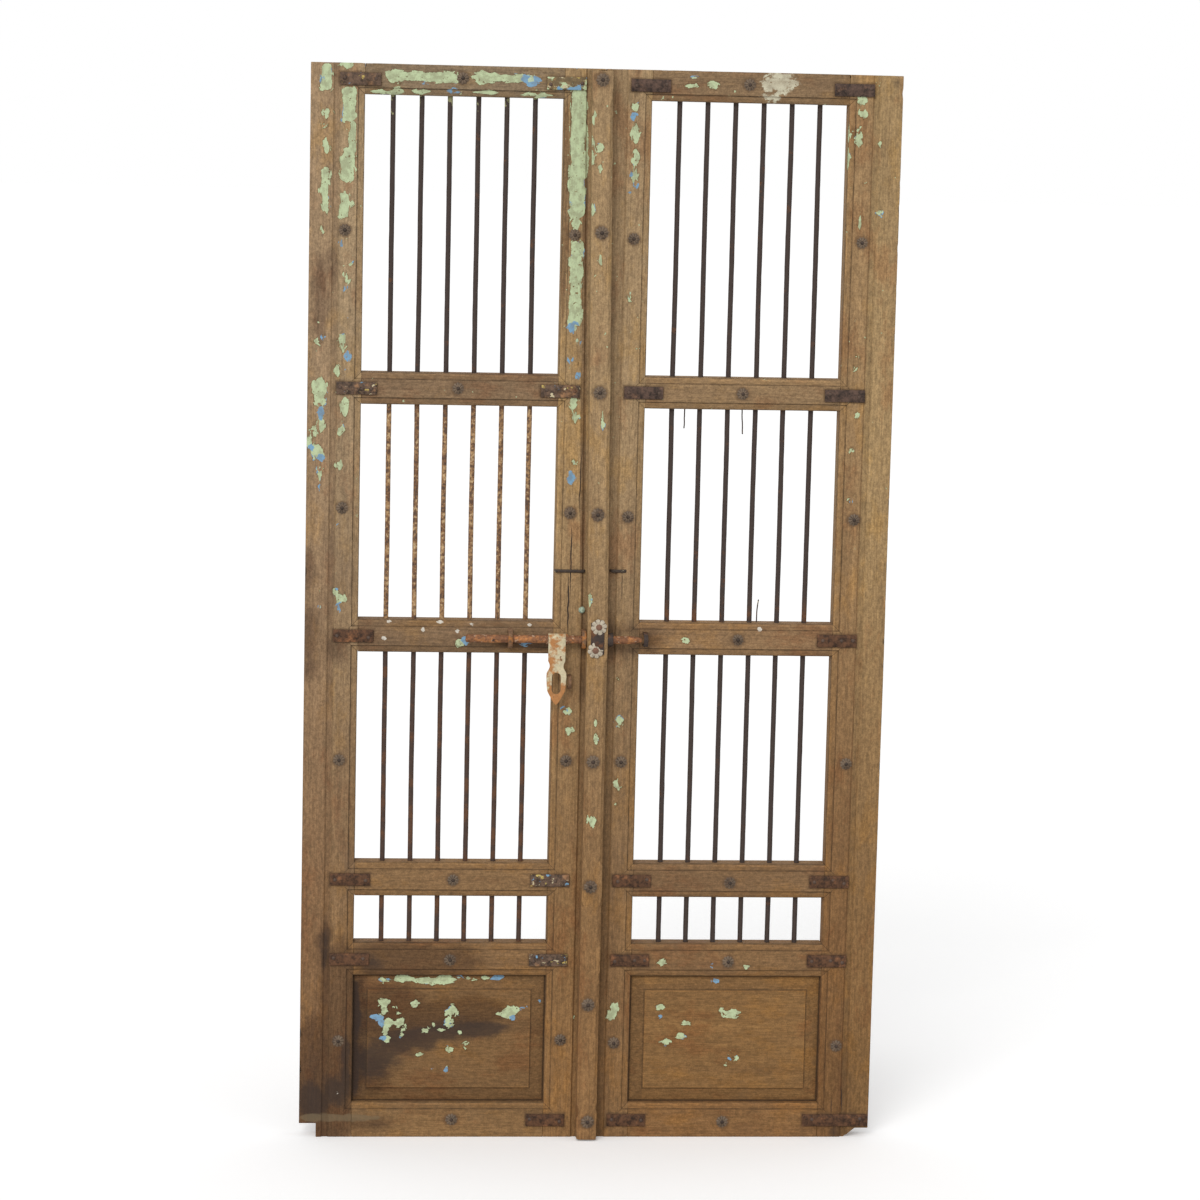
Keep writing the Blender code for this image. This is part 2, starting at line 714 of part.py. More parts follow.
def hasp():
    """Makes the hasp: a leaf-shaped plate with a slot, hung from an eye that turns on the bolt."""
    half = EYE_LENGTH / 2
    neck = HASP_NECK_WIDTH / 2
    belly = HASP_BELLY_WIDTH / 2
    shoulder = HASP_NECK_DROP / 2
    side = [(half, 0.0), (half, -shoulder), (neck, -HASP_NECK_DROP), (belly, -HASP_SLOT_DROP)]
    outline = [(-x, z) for x, z in side] + [(0.0, -HASP_REACH)] + side[::-1]
    corners = (0, 1, len(side), len(outline) - 2, len(outline) - 1)
    run = (HASP_SLOT_HEIGHT - HASP_SLOT_WIDTH) / 2
    low, high = -HASP_SLOT_DROP - run, -HASP_SLOT_DROP + run
    slot = arc(HASP_SLOT_WIDTH / 2, 0, 180, (0.0, high)) + arc(HASP_SLOT_WIDTH / 2, 180, 360, (0.0, low))
    plate_y = BOLT_Y - EYE_BORE - EYE_WALL / 2
    bm = bmesh.new()
    outlines = [smooth_outline(outline, corners, HASP_CURVE_STEPS), polygon(slot)]
    add_prism(bm, outlines, HASP_PLATE, FACING_FRONT, (HASP_X, plate_y, LOCK_Z))
    obj = finish_object("hasp", bm, PAINTED_IRON, (HASP_X, BOLT_Y, LOCK_Z))
    for name, radius, length, operation in (("hasp_eye", EYE_BORE + EYE_WALL, EYE_LENGTH, "UNION"),
                                            ("hasp_bore", EYE_BORE, 2 * EYE_LENGTH, "DIFFERENCE")):
        tool = bmesh.new()
        add_cylinder(tool, (HASP_X, BOLT_Y, LOCK_Z), (1, 0, 0), radius, length, BOLT_SIDES)
        boolean(obj, finish_object(name, tool), operation)
    return obj


# Astragal and what it carries
def astragal():
    """Makes the strip over the joint, chamfered between the rails and bored for the bolt."""
    stations = [(ASTRAGAL_END_GAP, ARRIS)]
    for z0, z1 in OPENING_EDGES:
        stations += [(z0, ARRIS), (z0 + CHAMFER_STOP, CHAMFER), (z1 - CHAMFER_STOP, CHAMFER), (z1, ARRIS)]
    stations.append((PAIR_HEIGHT - ASTRAGAL_END_GAP, ARRIS))
    back = FRONT - ASTRAGAL_SEAT
    front = FRONT - ASTRAGAL_FRONT
    rings = []
    for z, bevel in stations:
        half = [(HALF_ASTRAGAL, back), (HALF_ASTRAGAL, front + bevel), (HALF_ASTRAGAL - bevel, front)]
        section = half + [(-x, y) for x, y in half[::-1]]
        rings.append([(x + joint_lean(z), y, z) for x, y in section])
    bm = bmesh.new()
    add_loft(bm, rings)
    obj = finish_object("astragal", bm, WOOD)
    bore = bmesh.new()
    add_cylinder(bore, (0, BOLT_Y, LOCK_Z), (1, 0, 0), FERRULE_RADIUS + FIT, 2 * ASTRAGAL_WIDTH, BOLT_SIDES)
    cut(obj, finish_object("bolt_bore", bore))
    return obj


def flower_outline():
    """Outlines a washer with rounded petals."""
    points = []
    for i in range(FLOWER_POINTS):
        turn = 2 * math.pi * i / FLOWER_POINTS
        lobe = 1 - FLOWER_LOBE * (1 - abs(math.cos(FLOWER_PETALS * turn / 2)))
        radius = FLOWER_DIAMETER / 2 * lobe
        points.append((radius * math.cos(turn), radius * math.sin(turn)))
    return points


def bolt_cover():
    """Makes the plate on the astragal, with a flower washer and a nail head at each end."""
    back = FRONT - ASTRAGAL_FRONT - FIT
    front = back - COVER_PLATE
    bm = bmesh.new()
    add_box(bm, (-COVER_WIDTH / 2, front, LOCK_Z - COVER_HEIGHT / 2),
            (COVER_WIDTH / 2, back, LOCK_Z + COVER_HEIGHT / 2))
    obj = finish_object("bolt_cover", bm, DARK_IRON)
    for sign, place in ((1, "upper"), (-1, "lower")):
        centre = Vector((0, front - FLOWER_THICKNESS, LOCK_Z + sign * FLOWER_SPACING / 2))
        depth = FLOWER_THICKNESS + BURY
        middle = centre + Vector((0, depth / 2, 0))
        washer = bmesh.new()
        add_prism(washer, [polygon(flower_outline())], depth, FACING_FRONT, middle)
        boolean(obj, finish_object(f"{place}_flower", washer), "UNION")
        head = bmesh.new()
        shape = Matrix.Diagonal((NAIL_HEAD / 2, NAIL_RISE, NAIL_HEAD / 2, 1.0))
        bmesh.ops.create_uvsphere(head, u_segments=NAIL_SEGMENTS, v_segments=NAIL_RINGS, radius=1.0,
                                  matrix=Matrix.Translation(centre) @ shape)
        boolean(obj, finish_object(f"{place}_nail_head", head), "UNION")
    return obj


# Empties that carry the moving bodies
def axis_empty(name, place, parent=None):
    """Makes an empty on a joint's axis."""
    empty = bpy.data.objects.new(name, None)
    PARTS.objects.link(empty)
    empty.location = Vector(place) - (parent.location if parent else Vector())
    empty.parent = parent
    return empty


def carry(empty, place, pieces):
    """Parents pieces to an empty and leaves them where they are."""
    for obj in pieces:
        obj.parent = empty
        obj.matrix_parent_inverse = Matrix.Translation(place).inverted()


left = leaf(LEFT)
right = leaf(RIGHT)
astragal()
ferrule()
bolt_cover()
bolt_staple("outer_guide_staple", OUTER_GUIDE_X, SLIDE_FIT, left["left_lock_rail"])
bolt_staple("inner_guide_staple", INNER_GUIDE_X, SLIDE_FIT, left["left_meeting_stile"])
lock_staple(left["left_meeting_stile"])
right["keeper_staple"] = bolt_staple("keeper_staple", KEEPER_X, KEEPER_FIT, right["right_lock_rail"])

pivot_place = (HALF_WIDTH - PIVOT_INSET, MIDDLE, 0.0)
bolt_place = (HASP_X, BOLT_Y, LOCK_Z)
right_pivot = axis_empty("right_leaf_pivot", pivot_place)
bolt_axis = axis_empty("bolt_axis", bolt_place)
hasp_axis = axis_empty("hasp_axis", bolt_place, bolt_axis)
carry(right_pivot, pivot_place, right.values())
carry(bolt_axis, bolt_place, [bolt_rod()])
carry(hasp_axis, bolt_place, [hasp()])
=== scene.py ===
"""Looks of a pair of old double doors: weathered wood, the last of its paint, and rusted iron."""
import json
import math
import random

import bmesh
import bpy
import numpy as np
from mathutils import Matrix, Vector, noise

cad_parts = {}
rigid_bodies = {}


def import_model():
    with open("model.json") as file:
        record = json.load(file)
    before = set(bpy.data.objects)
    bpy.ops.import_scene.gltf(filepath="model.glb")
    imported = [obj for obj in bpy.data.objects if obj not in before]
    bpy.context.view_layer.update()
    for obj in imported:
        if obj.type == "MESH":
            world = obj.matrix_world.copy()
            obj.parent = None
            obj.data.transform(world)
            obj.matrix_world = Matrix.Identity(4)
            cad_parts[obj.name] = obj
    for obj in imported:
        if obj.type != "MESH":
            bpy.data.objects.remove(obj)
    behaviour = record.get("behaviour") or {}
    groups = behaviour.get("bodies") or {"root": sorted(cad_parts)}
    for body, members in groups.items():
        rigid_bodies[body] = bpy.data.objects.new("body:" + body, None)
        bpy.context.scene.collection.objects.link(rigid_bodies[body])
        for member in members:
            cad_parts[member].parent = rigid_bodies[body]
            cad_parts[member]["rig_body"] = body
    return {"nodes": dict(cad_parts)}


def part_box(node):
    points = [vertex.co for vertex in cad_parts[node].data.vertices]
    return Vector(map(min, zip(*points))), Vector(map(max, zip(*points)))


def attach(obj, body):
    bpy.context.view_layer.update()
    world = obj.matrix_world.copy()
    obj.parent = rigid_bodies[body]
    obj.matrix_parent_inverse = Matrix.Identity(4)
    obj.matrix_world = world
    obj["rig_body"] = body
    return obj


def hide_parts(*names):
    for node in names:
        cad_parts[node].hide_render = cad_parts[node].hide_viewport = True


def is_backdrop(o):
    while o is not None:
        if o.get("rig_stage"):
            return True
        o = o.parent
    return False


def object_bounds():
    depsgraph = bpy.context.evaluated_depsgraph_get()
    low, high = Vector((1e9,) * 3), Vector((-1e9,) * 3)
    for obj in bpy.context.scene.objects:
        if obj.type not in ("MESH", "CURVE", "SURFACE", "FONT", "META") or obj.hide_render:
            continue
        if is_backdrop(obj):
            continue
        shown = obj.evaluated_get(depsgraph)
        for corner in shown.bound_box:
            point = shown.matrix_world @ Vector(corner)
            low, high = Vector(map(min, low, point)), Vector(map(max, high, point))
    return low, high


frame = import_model()
cad_low, cad_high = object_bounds()
NODES = frame["nodes"]

# Camera, from the photograph's perspective: metres, degrees and millimetres
CAMERA_PLACE = (-0.5371, -6.6470, 1.9868)
CAMERA_AIM = (0.0053, 0.0, 1.0368)
CAMERA_ROLL = 1.334
CAMERA_LENS = 108.0
CAMERA_SENSOR = 36.0

# Faces of the leaves and of the strip over their joint, and its lean above the lock rail
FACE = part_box("left_top_rail")[0].y
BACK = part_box("left_top_rail")[1].y
STRIP_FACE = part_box("astragal")[0].y
LOCK_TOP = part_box("left_lock_rail")[1].z
JOINT_LEAN = 0.0134

# A millimetre, what counts as one place, and a depth past every piece, all in metres
MM = 0.001
WELD = 1e-6
FLAT = 1000.0

# Where most of a noise value lies
NOISE_MIDDLE = (0.3, 0.7)

# One seed for the uneven shapes, so that every run makes the same ones
SHAPE_SEED = 7
noise.seed_set(SHAPE_SEED)

SIDES = ("left", "right")
RAILS = ("bottom_rail", "panel_rail", "lower_rail", "lock_rail", "cross_rail", "top_rail")
WOOD_NODES = ["astragal"]
for side in SIDES:
    WOOD_NODES += [f"{side}_{part}" for part in ("hanging_stile", "meeting_stile", "panel") + RAILS]
STRAPS = sorted(name for name in NODES if "_strap_" in name)
BARS = sorted(name for name in NODES if "_bar_" in name)

# Colours, linear
# The upper wood colours are lighter partly as the wood's own colour and partly as painted light that falls
# off towards the foot
WOOD_HIGH = ((0.318, 0.212, 0.112), (0.365, 0.246, 0.130), (0.412, 0.282, 0.152))
WOOD_LOW = ((0.202, 0.109, 0.046), (0.236, 0.129, 0.054), (0.270, 0.150, 0.064))
DULL = (0.165, 0.104, 0.062)
GOLDEN = (1.12, 1.05, 0.88)
RUSSET = (0.93, 0.82, 0.77)
# Lighter tone for wear, also laid as a painted highlight on the mouldings and along the panels' fields
WEAR_AND_HIGHLIGHT = (1.14, 1.10, 1.02)
# Painted shade on the raised panels' sloping margins, darker on the left slope
MARGIN_SHADE = (0.93, 0.92, 0.92)
LEFT_MARGIN_SHADE = (0.78, 0.78, 0.82)
BARE = (0.205, 0.150, 0.085)
SOOT = (0.046, 0.030, 0.023)
# Darkening tint for smoke and damp stains, also laid as a painted shadow of the hasp
STAIN_AND_SHADOW_TONE = (0.58, 0.55, 0.56)
# Dark grime; also laid as painted shade in sunk quirks, channels and the gap round the panels
GRIME_AND_SHADE = (0.050, 0.031, 0.018)
RUST_STAIN = (0.110, 0.064, 0.036)
PAINT_GREEN = (0.545, 0.640, 0.385)
PAINT_BLUE = (0.215, 0.395, 0.560)
PAINT_CREAM = (0.640, 0.600, 0.440)
SPLASH = (0.680, 0.630, 0.540)
# Darkening just outside the green paint: dirt and a painted shadow of the paint's edge
PAINT_EDGE_DIRT_AND_SHADOW = (0.62, 0.58, 0.50)
IRON_DARK = (0.060, 0.042, 0.035)
IRON_BROWN = (0.088, 0.058, 0.044)
RUST_DEEP = (0.150, 0.066, 0.030)
RUST_ORANGE = (0.400, 0.160, 0.045)
RUST_TAN = (0.430, 0.255, 0.120)
RUST_PALE = (0.560, 0.400, 0.220)
CREAM = (0.640, 0.550, 0.350)
YELLOW = (0.560, 0.420, 0.130)
OLD_OLIVE = (0.330, 0.320, 0.165)

# What is left of the paint on each piece: x, z, half sizes in millimetres, and a turn in degrees
GREEN_PATCHES = {
    "left_hanging_stile": (
        (-519, 1982, 10, 15), (-515, 1929, 9, 16), (-521, 1908, 6, 6), (-515, 1868, 6, 14),
        (-513, 1822, 5, 10), (-519, 1788, 8, 21), (-513, 1757, 4, 17), (-519, 1720, 6, 8),
        (-476, 2016, 13, 6), (-483, 1918, 9, 9), (-478, 1853, 13, 12), (-479, 1823, 14, 16),
        (-471, 1766, 4, 5), (-485, 1746, 4, 10), (-470, 1742, 3, 5), (-470, 1660, 3, 7),
        (-475, 1629, 5, 11), (-481, 1510, 6, 18), (-528, 1511, 6, 4), (-490, 1457, 4, 12),
        (-523, 1423, 14, 25), (-520, 1403, 12, 14), (-518, 1359, 8, 17), (-530, 1341, 8, 14),
        (-537, 1327, 5, 13), (-525, 1307, 12, 15), (-521, 1272, 3, 25), (-476, 1391, 10, 23),
        (-482, 1349, 6, 10), (-485, 1285, 3, 6), (-513, 1049, 4, 9), (-490, 1046, 8, 11),
        (-481, 1033, 11, 12)),
    "left_top_rail": (
        (-392, 1994, 20, 11), (-313, 2001, 20, 11), (-233, 2000, 20, 11), (-420, 1970, 18, 3),
        (-390, 1969, 12, 5), (-343, 1972, 15, 4), (-229, 1972, 25, 3), (-131, 1970, 38, 4)),
    "left_meeting_stile": (
        (-60, 2019, 5, 4), (-56, 1738, 9, 12), (-53, 1403, 11, 17), (-49, 1381, 8, 17),
        (-49, 1295, 3, 3), (-54, 824, 10, 9), (-50, 791, 9, 9), (-38, 1868, 3, 57), (-26, 233, 3, 6)),
    "astragal": (
        (-17, 1932, 3, 20), (-18, 1876, 3, 34), (-17, 1764, 2, 16), (-4, 1878, 5, 6), (-5, 1842, 2, 7),
        (0, 1672, 4, 6), (-17, 1044, 3, 14), (6, 1376, 2, 23), (0, 807, 2, 5), (1, 779, 3, 7),
        (1, 707, 4, 4), (-3, 622, 5, 14)),
    "right_top_rail": ((150, 1993, 17, 7), (191, 1994, 12, 7)),
    "right_meeting_stile": (
        (49, 1954, 4, 11), (51, 1905, 8, 25), (51, 1861, 6, 18), (51, 1826, 6, 17), (49, 1603, 5, 8),
        (43, 884, 5, 9), (47, 805, 9, 13), (48, 685, 6, 8), (45, 649, 2, 3), (50, 253, 4.5, 12, -16),
        (44, 238, 4, 12, -24)),
    "right_hanging_stile": (
        (471, 1973, 8, 11), (471, 1949, 8, 6), (467, 1904, 7, 20), (447, 1914, 2, 25),
        (447, 1869, 2, 25), (472, 1751, 5, 19), (504, 1890, 6, 8), (509, 1770, 8, 7), (475, 1500, 4, 5),
        (470, 1479, 3, 8), (479, 1387, 6, 5), (470, 1319, 4, 10), (470, 1229, 3, 3), (483, 1240, 2, 2)),
    "left_lock_rail": ((-256, 951, 6, 4),),
    "right_lock_rail": ((167, 962, 8, 2),),
    "right_panel_rail": ((140, 341, 8, 4), (301, 335, 12, 8)),
    "left_panel": (
        (-384, 305, 12, 4), (-349, 305, 24, 6), (-310, 302, 24, 9), (-272, 304, 28, 7),
        (-218, 305, 14, 6), (-196, 308, 10, 5), (-386, 262, 12, 10), (-387, 246, 8, 12),
        (-378, 220, 14, 14), (-382, 200, 10, 13), (-357, 221, 4, 10, -30), (-351, 202, 3.5, 10, -25),
        (-368, 252, 2, 1), (-358, 241, 4, 1), (-328, 257, 6, 6), (-259, 243, 12, 13),
        (-264, 225, 13, 13), (-306, 209, 5, 6), (-290, 217, 5, 2, -35), (-279, 208, 8, 2),
        (-242, 204, 1, 1), (-154, 240, 17, 8), (-141, 247, 9, 8), (-261, 171, 6, 6), (-231, 178, 4, 4),
        (-318, 158, 4, 3), (-267, 141, 3, 3)),
    "right_panel": (
        (138, 254, 7, 4), (279, 243, 20, 7), (257, 247, 4, 4), (271, 236, 11, 2), (189, 221, 13, 4),
        (179, 196, 7, 4), (150, 183, 12, 7), (277, 163, 4, 4), (284, 155, 8, 5), (269, 144, 5, 3)),
}
GREEN_BANDS = {
    "left_meeting_stile": ((-54.5, 1866, 14.5, 119), (-53, 1626, 12.0, 81)),
    "left_hanging_stile": (
        (-475, 1946, 13, 33), (-468, 1886, 6, 30), (-478, 1830, 12, 27), (-482, 1762, 9, 23),
        (-517, 1993, 10, 24), (-517, 1790, 7, 40)),
    "left_top_rail": ((-343, 1998, 67, 9), (-200, 1999, 44, 8)),
}
BLUE_PATCHES = {
    "left_hanging_stile": (
        (-528, 1990, 5, 12), (-485, 1691, 3, 5), (-478, 1609, 5, 11), (-473, 1556, 2, 4),
        (-481, 1537, 4, 11), (-472, 1484, 5, 12), (-519, 1521, 5, 8), (-475, 1453, 3, 7),
        (-448, 1935, 2, 10), (-520, 1380, 6, 14), (-520, 1296, 7, 6), (-535, 1314, 3, 5),
        (-520, 1243, 3, 6), (-484, 1170, 6, 3), (-515, 1017, 3, 5), (-487, 1051, 6, 5),
        (-481, 1017, 8, 11)),
    "left_top_rail": ((-144, 1998, 27, 12), (-284, 1973, 19, 4), (-339, 1986, 24, 3)),
    "left_meeting_stile": (
        (-55, 1544, 13, 11), (-48, 1520, 5, 12), (-58, 1487, 3, 6), (-45, 1456, 4, 6),
        (-66, 1772, 3, 16), (-55, 1268, 6, 13), (-58, 829, 8, 6)),
    "right_meeting_stile": (
        (48, 1935, 7, 7), (45, 1830, 3, 8), (54, 1809, 6, 9), (43, 1796, 4, 4), (49, 1610, 6, 9)),
    "right_top_rail": ((156, 2007, 16, 3),),
    "left_lock_rail": ((-241, 957, 10, 7), (-226, 962, 5, 2), (-134, 953, 12, 2)),
    "right_panel_rail": ((236, 338, 3, 3),),
    "left_panel": (
        (-175, 310, 18, 4), (-245, 308, 6, 3), (-204, 309, 8, 3), (-391, 223, 8, 14), (-405, 234, 5, 2),
        (-388, 195, 3, 6), (-142, 234, 6, 3), (-122, 250, 6, 2), (-268, 131, 3, 4), (-292, 131, 14, 1),
        (-91, 265, 2, 4)),
    "right_panel": ((245, 304, 6, 4), (140, 236, 3, 2), (277, 154, 5, 3)),
}
CREAM_PATCHES = {
    "right_top_rail": ((309, 2001, 26, 18), (297, 1975, 20, 7), (338, 2002, 17, 5), (319, 2014, 12, 4)),
}
WHITE_PATCHES = {
    "left_lock_rail": (
        (-325, 976, 4, 5), (-261, 975, 4, 4), (-398, 960, 5, 4), (-388, 991, 5, 3), (-293, 991, 8, 3),
        (-234, 987, 5, 3), (-125, 988, 5, 3)),
    "right_lock_rail": ((308, 985, 6, 4),),
    "right_panel": ((140, 280, 2, 2), (190, 262, 2, 2)),
    "left_hanging_stile": ((-473, 86, 3, 3),),
}

# Stains, a painted shadow of the hasp, the marks of lost straps, and cracks, in the same way
SOOT_PATCHES = {
    "left_hanging_stile": (
        (-520, 70, 36, 40), (-476, 92, 32, 30), (-499, 367, 8, 36), (-458, 140, 10, 60)),
    "left_panel_rail": ((-408, 338, 16, 12),),
    "left_panel": (
        (-248, 205, 102, 19, 5), (-335, 188, 74, 28, 12), (-402, 152, 50, 38, 20),
        (-441, 185, 12, 120)),
    "right_hanging_stile": ((480, 11, 4, 13), (535, 2008, 6, 6)),
}
SMOKE_AND_SHADOW_PATCHES = {
    "left_hanging_stile": (
        (-539, 1085, 11, 40), (-537, 962, 20, 55), (-537, 905, 18, 23), (-486, 940, 22, 24),
        (-500, 110, 68, 140), (-472, 210, 42, 180), (-499, 370, 12, 50), (-524, 1590, 14, 85),
        (-506, 1655, 10, 30)),
    "left_panel_rail": ((-362, 345, 88, 44), (-272, 344, 66, 34)),
    "left_bottom_rail": ((-415, 27, 44, 14),),
    "left_panel": (
        (-372, 235, 78, 58), (-262, 238, 112, 34, 4), (-434, 190, 16, 120), (-402, 118, 34, 36)),
    "left_meeting_stile": (
        # The first patch on the left meeting stile, beside the strip below the bolt, is a painted shadow of
        # the hasp; the rest are smoke stains
        (-24, 920, 7, 90), (-27, 1004, 6, 30), (-76, 1760, 6, 210), (-35, 1500, 5, 520, 0.77)),
    "left_lock_rail": ((-135, 950, 50, 8),),
    "right_meeting_stile": ((27, 964, 13, 40), (52, 981, 30, 9), (52, 942, 30, 10), (77, 962, 10, 26)),
    "right_lock_rail": ((96, 962, 30, 18),),
}
GHOST_PATCHES = {
    "left_hanging_stile": ((-505, 38, 42, 9), (-462, 38, 30, 8)),
    "left_bottom_rail": ((-436, 37, 30, 8), (-408, 38, 18, 5)),
}
CRACKS = {
    "left_meeting_stile": ((-51, 1112, 1.0, 80), (-55, 1030, 1.3, 62), (-36, 1260, 0.9, 70)),
    "right_meeting_stile": ((46, 1063, 0.6, 28),),
    "right_hanging_stile": ((493, 76, 0.8, 32), (473, 60, 0.7, 18)),
}

# Rosette studs: x and z in metres on each piece, and from the middle of the strip
STUD_SIZE = 0.0115
STRIP_STUD_SIZE = 0.0128
STUDS = {
    "left_top_rail": ((-0.268, 1.997),),
    "left_cross_rail": ((-0.267, 1.429),),
    "left_lower_rail": ((-0.2605, 0.5),),
    "left_panel_rail": ((-0.2635, 0.3455),),
    "left_bottom_rail": ((-0.256, 0.034),),
    "left_hanging_stile": ((-0.4796, 1.7166), (-0.4784, 1.2035), (-0.4779, 0.7285), (-0.4729, 0.1875)),
    "left_meeting_stile": ((-0.0567, 1.7158), (-0.0546, 1.2), (-0.052, 0.7301), (-0.051, 0.1903)),
    "astragal": (
        (-0.0004, 1.9996), (0.0004, 1.7217), (-0.0003, 1.4274), (-0.002, 1.2005), (-0.003, 0.7343),
        (-0.0025, 0.4949), (-0.002, 0.2666), (0.002, 0.0381)),
    "right_top_rail": ((0.26, 1.997),),
    "right_cross_rail": ((0.263, 1.4274),),
    "right_lock_rail": ((0.267, 0.964),),
    "right_lower_rail": ((0.265, 0.4975),),
    "right_panel_rail": ((0.266, 0.344),),
    "right_bottom_rail": ((0.263, 0.03),),
    "right_meeting_stile": ((0.0525, 1.7106), (0.054, 1.194), (0.052, 0.7291), (0.051, 0.1846)),
    "right_hanging_stile": ((0.4773, 1.7116), (0.4796, 1.1941), (0.4798, 0.7288), (0.4785, 0.1795)),
}

# Where their nails come out at the back: the strip's go through the left meeting stile
NAIL_POINTS = {node: list(places) for node, places in STUDS.items() if node != "astragal"}
for x, z in STUDS["astragal"]:
    NAIL_POINTS["left_meeting_stile"].append((x - JOINT_LEAN * max(0.0, z - LOCK_TOP), z))


class Nodes:
    """Builds the nodes of one node tree."""

    def __init__(self, tree):
        self.nodes = tree.nodes
        self.links = tree.links

    def add(self, kind, inputs=None, **settings):
        """Adds a node and feeds its inputs with values or sockets."""
        node = self.nodes.new(kind)
        for key, value in settings.items():
            setattr(node, key, value)
        for key, value in (inputs or {}).items():
            self.feed(node.inputs[key], value)
        return node

    def feed(self, socket, value):
        """Sets a socket, or links one to it."""
        if isinstance(value, bpy.types.NodeSocket):
            self.links.new(value, socket)
        elif hasattr(value, "__len__") and len(value) == 3 and socket.type == "RGBA":
            socket.default_value = (*value, 1.0)
        else:
            socket.default_value = value

    def math(self, operation, first, second=0.0, third=0.0):
        """Adds a Math node."""
        inputs = {0: first, 1: second, 2: third}
        return self.add("ShaderNodeMath", inputs, operation=operation).outputs[0]

    def mix(self, share, first, second, blend="MIX"):
        """Mixes two colours."""
        inputs = {0: share, 6: first, 7: second}
        return self.add("ShaderNodeMix", inputs, data_type="RGBA", blend_type=blend).outputs[2]


class Finish(Nodes):
    """Builds one procedural material on the piece's own coordinates, colour over colour."""

    def __init__(self, name):
        self.material = bpy.data.materials.new(name)
        self.material.use_nodes = True
        super().__init__(self.material.node_tree)
        self.place = self.add("ShaderNodeTexCoord").outputs["Object"]
        self.x, self.y, self.z = self.add("ShaderNodeSeparateXYZ", {"Vector": self.place}).outputs
        self.colour = None

    def fold(self, operation, values):
        """Joins values by one operation, one after another."""
        result = values[0]
        for value in values[1:]:
            result = self.math(operation, result, value)
        return result

    def product(self, *values):
        """Multiplies values."""
        return self.fold("MULTIPLY", values)

    def apart(self, first, second):
        """Measures how far two values are from each other."""
        return self.math("ABSOLUTE", self.math("SUBTRACT", first, second))

    def step(self, value, low, high, to_low=0.0, to_high=1.0):
        """Eases a value from one range into another."""
        inputs = {"Value": value, "From Min": low, "From Max": high, "To Min": to_low, "To Max": to_high}
        return self.add("ShaderNodeMapRange", inputs, interpolation_type="SMOOTHSTEP").outputs["Result"]

    def swayed(self, value, *shakes):
        """Adds noise values to a distance, each times its own size."""
        for shake, size in shakes:
            value = self.math("MULTIPLY_ADD", self.math("SUBTRACT", shake, 0.5), size, value)
        return value

    def coat(self, paint, *shares):
        """Lays a colour over what is there, by the product of some shares."""
        self.colour = self.mix(self.product(*shares), self.colour, paint)

    def tint(self, tone, *shares):
        """Multiplies what is there by a tone: all of it, or by the product of some shares."""
        share = self.product(*shares) if shares else 1.0
        self.colour = self.mix(share, self.colour, tone, "MULTIPLY")

    def ramp(self, value, colours):
        """Spreads colours evenly over the middle of a noise value."""
        node = self.add("ShaderNodeValToRGB", {"Fac": value})
        elements = node.color_ramp.elements
        while len(elements) < len(colours):
            elements.new(0.5)
        for index, colour in enumerate(colours):
            elements[index].position = np.interp(index, (0, len(colours) - 1), NOISE_MIDDLE)
            elements[index].color = (*colour, 1.0)
        return node.outputs["Color"]

    def noise(self, scale, detail=4.0, roughness=0.55, vector=None, distortion=0.0):
        """Adds a Noise texture and returns its value."""
        inputs = {"Vector": vector or self.place, "Scale": scale, "Detail": detail, "Roughness": roughness,
                  "Distortion": distortion}
        return self.add("ShaderNodeTexNoise", inputs).outputs["Fac"]

    def cells(self, scale, vector):
        """Splits space into small angular cells and returns a value for each."""
        texture = self.add("ShaderNodeTexVoronoi", {"Vector": vector, "Scale": scale})
        return self.add("ShaderNodeSeparateColor", {"Color": texture.outputs["Color"]}).outputs[0]

    def field(self, name):
        """Reads a value that is stored on the piece's mesh."""
        return self.add("ShaderNodeAttribute", attribute_name=name).outputs["Fac"]

    def grey(self, value):
        """Turns a value into a grey colour."""
        return self.add("ShaderNodeCombineColor", {0: value, 1: value, 2: value}).outputs[0]

    def vector(self, operation, first, second=(0.0, 0.0, 0.0)):
        """Adds a Vector Math node and returns its outputs."""
        return self.add("ShaderNodeVectorMath", {0: first, 1: second}, operation=operation).outputs

    def stretched(self, along, stretch, seed):
        """Stretches the object's coordinates along one axis, from a place that the seed gives."""
        scale = [1.0, 1.0, 1.0]
        scale["XYZ".index(along)] = stretch
        chance = random.Random(seed)
        offset = [chance.uniform(-5.0, 5.0) for _ in range(3)]
        inputs = {"Vector": self.place, "Location": offset, "Scale": scale}
        return self.add("ShaderNodeMapping", inputs).outputs[0]

    def rectangle(self, low, high):
        """Measures how far outside a rectangle on the face a place is, sideways and upright, in metres."""
        middle = ((low[0] + high[0]) / 2, 0.0, (low[1] + high[1]) / 2)
        half = ((high[0] - low[0]) / 2, FLAT, (high[1] - low[1]) / 2)
        moved = self.vector("SUBTRACT", self.place, middle)["Vector"]
        folded = self.vector("ABSOLUTE", moved)["Vector"]
        outside = self.vector("SUBTRACT", folded, half)["Vector"]
        axes = self.add("ShaderNodeSeparateXYZ", {"Vector": outside}).outputs
        return axes["X"], axes["Z"]

    def outside(self, low, high):
        """Measures how far outside a rectangle on the face a place is, in metres; negative inside."""
        return self.fold("MAXIMUM", self.rectangle(low, high))

    def finish(self, roughness, height, relief, metallic=0.0, gloss=0.5):
        """Feeds the shader: colour, roughness, and a bump of `relief` metres."""
        bump = self.add("ShaderNodeBump", {"Height": height, "Distance": relief, "Strength": 1.0})
        looks = {"Base Color": self.colour, "Specular IOR Level": gloss, "Roughness": roughness,
                 "Metallic": metallic, "Normal": bump.outputs["Normal"]}
        for name, value in looks.items():
            self.feed(self.nodes["Principled BSDF"].inputs[name], value)
        return self.material


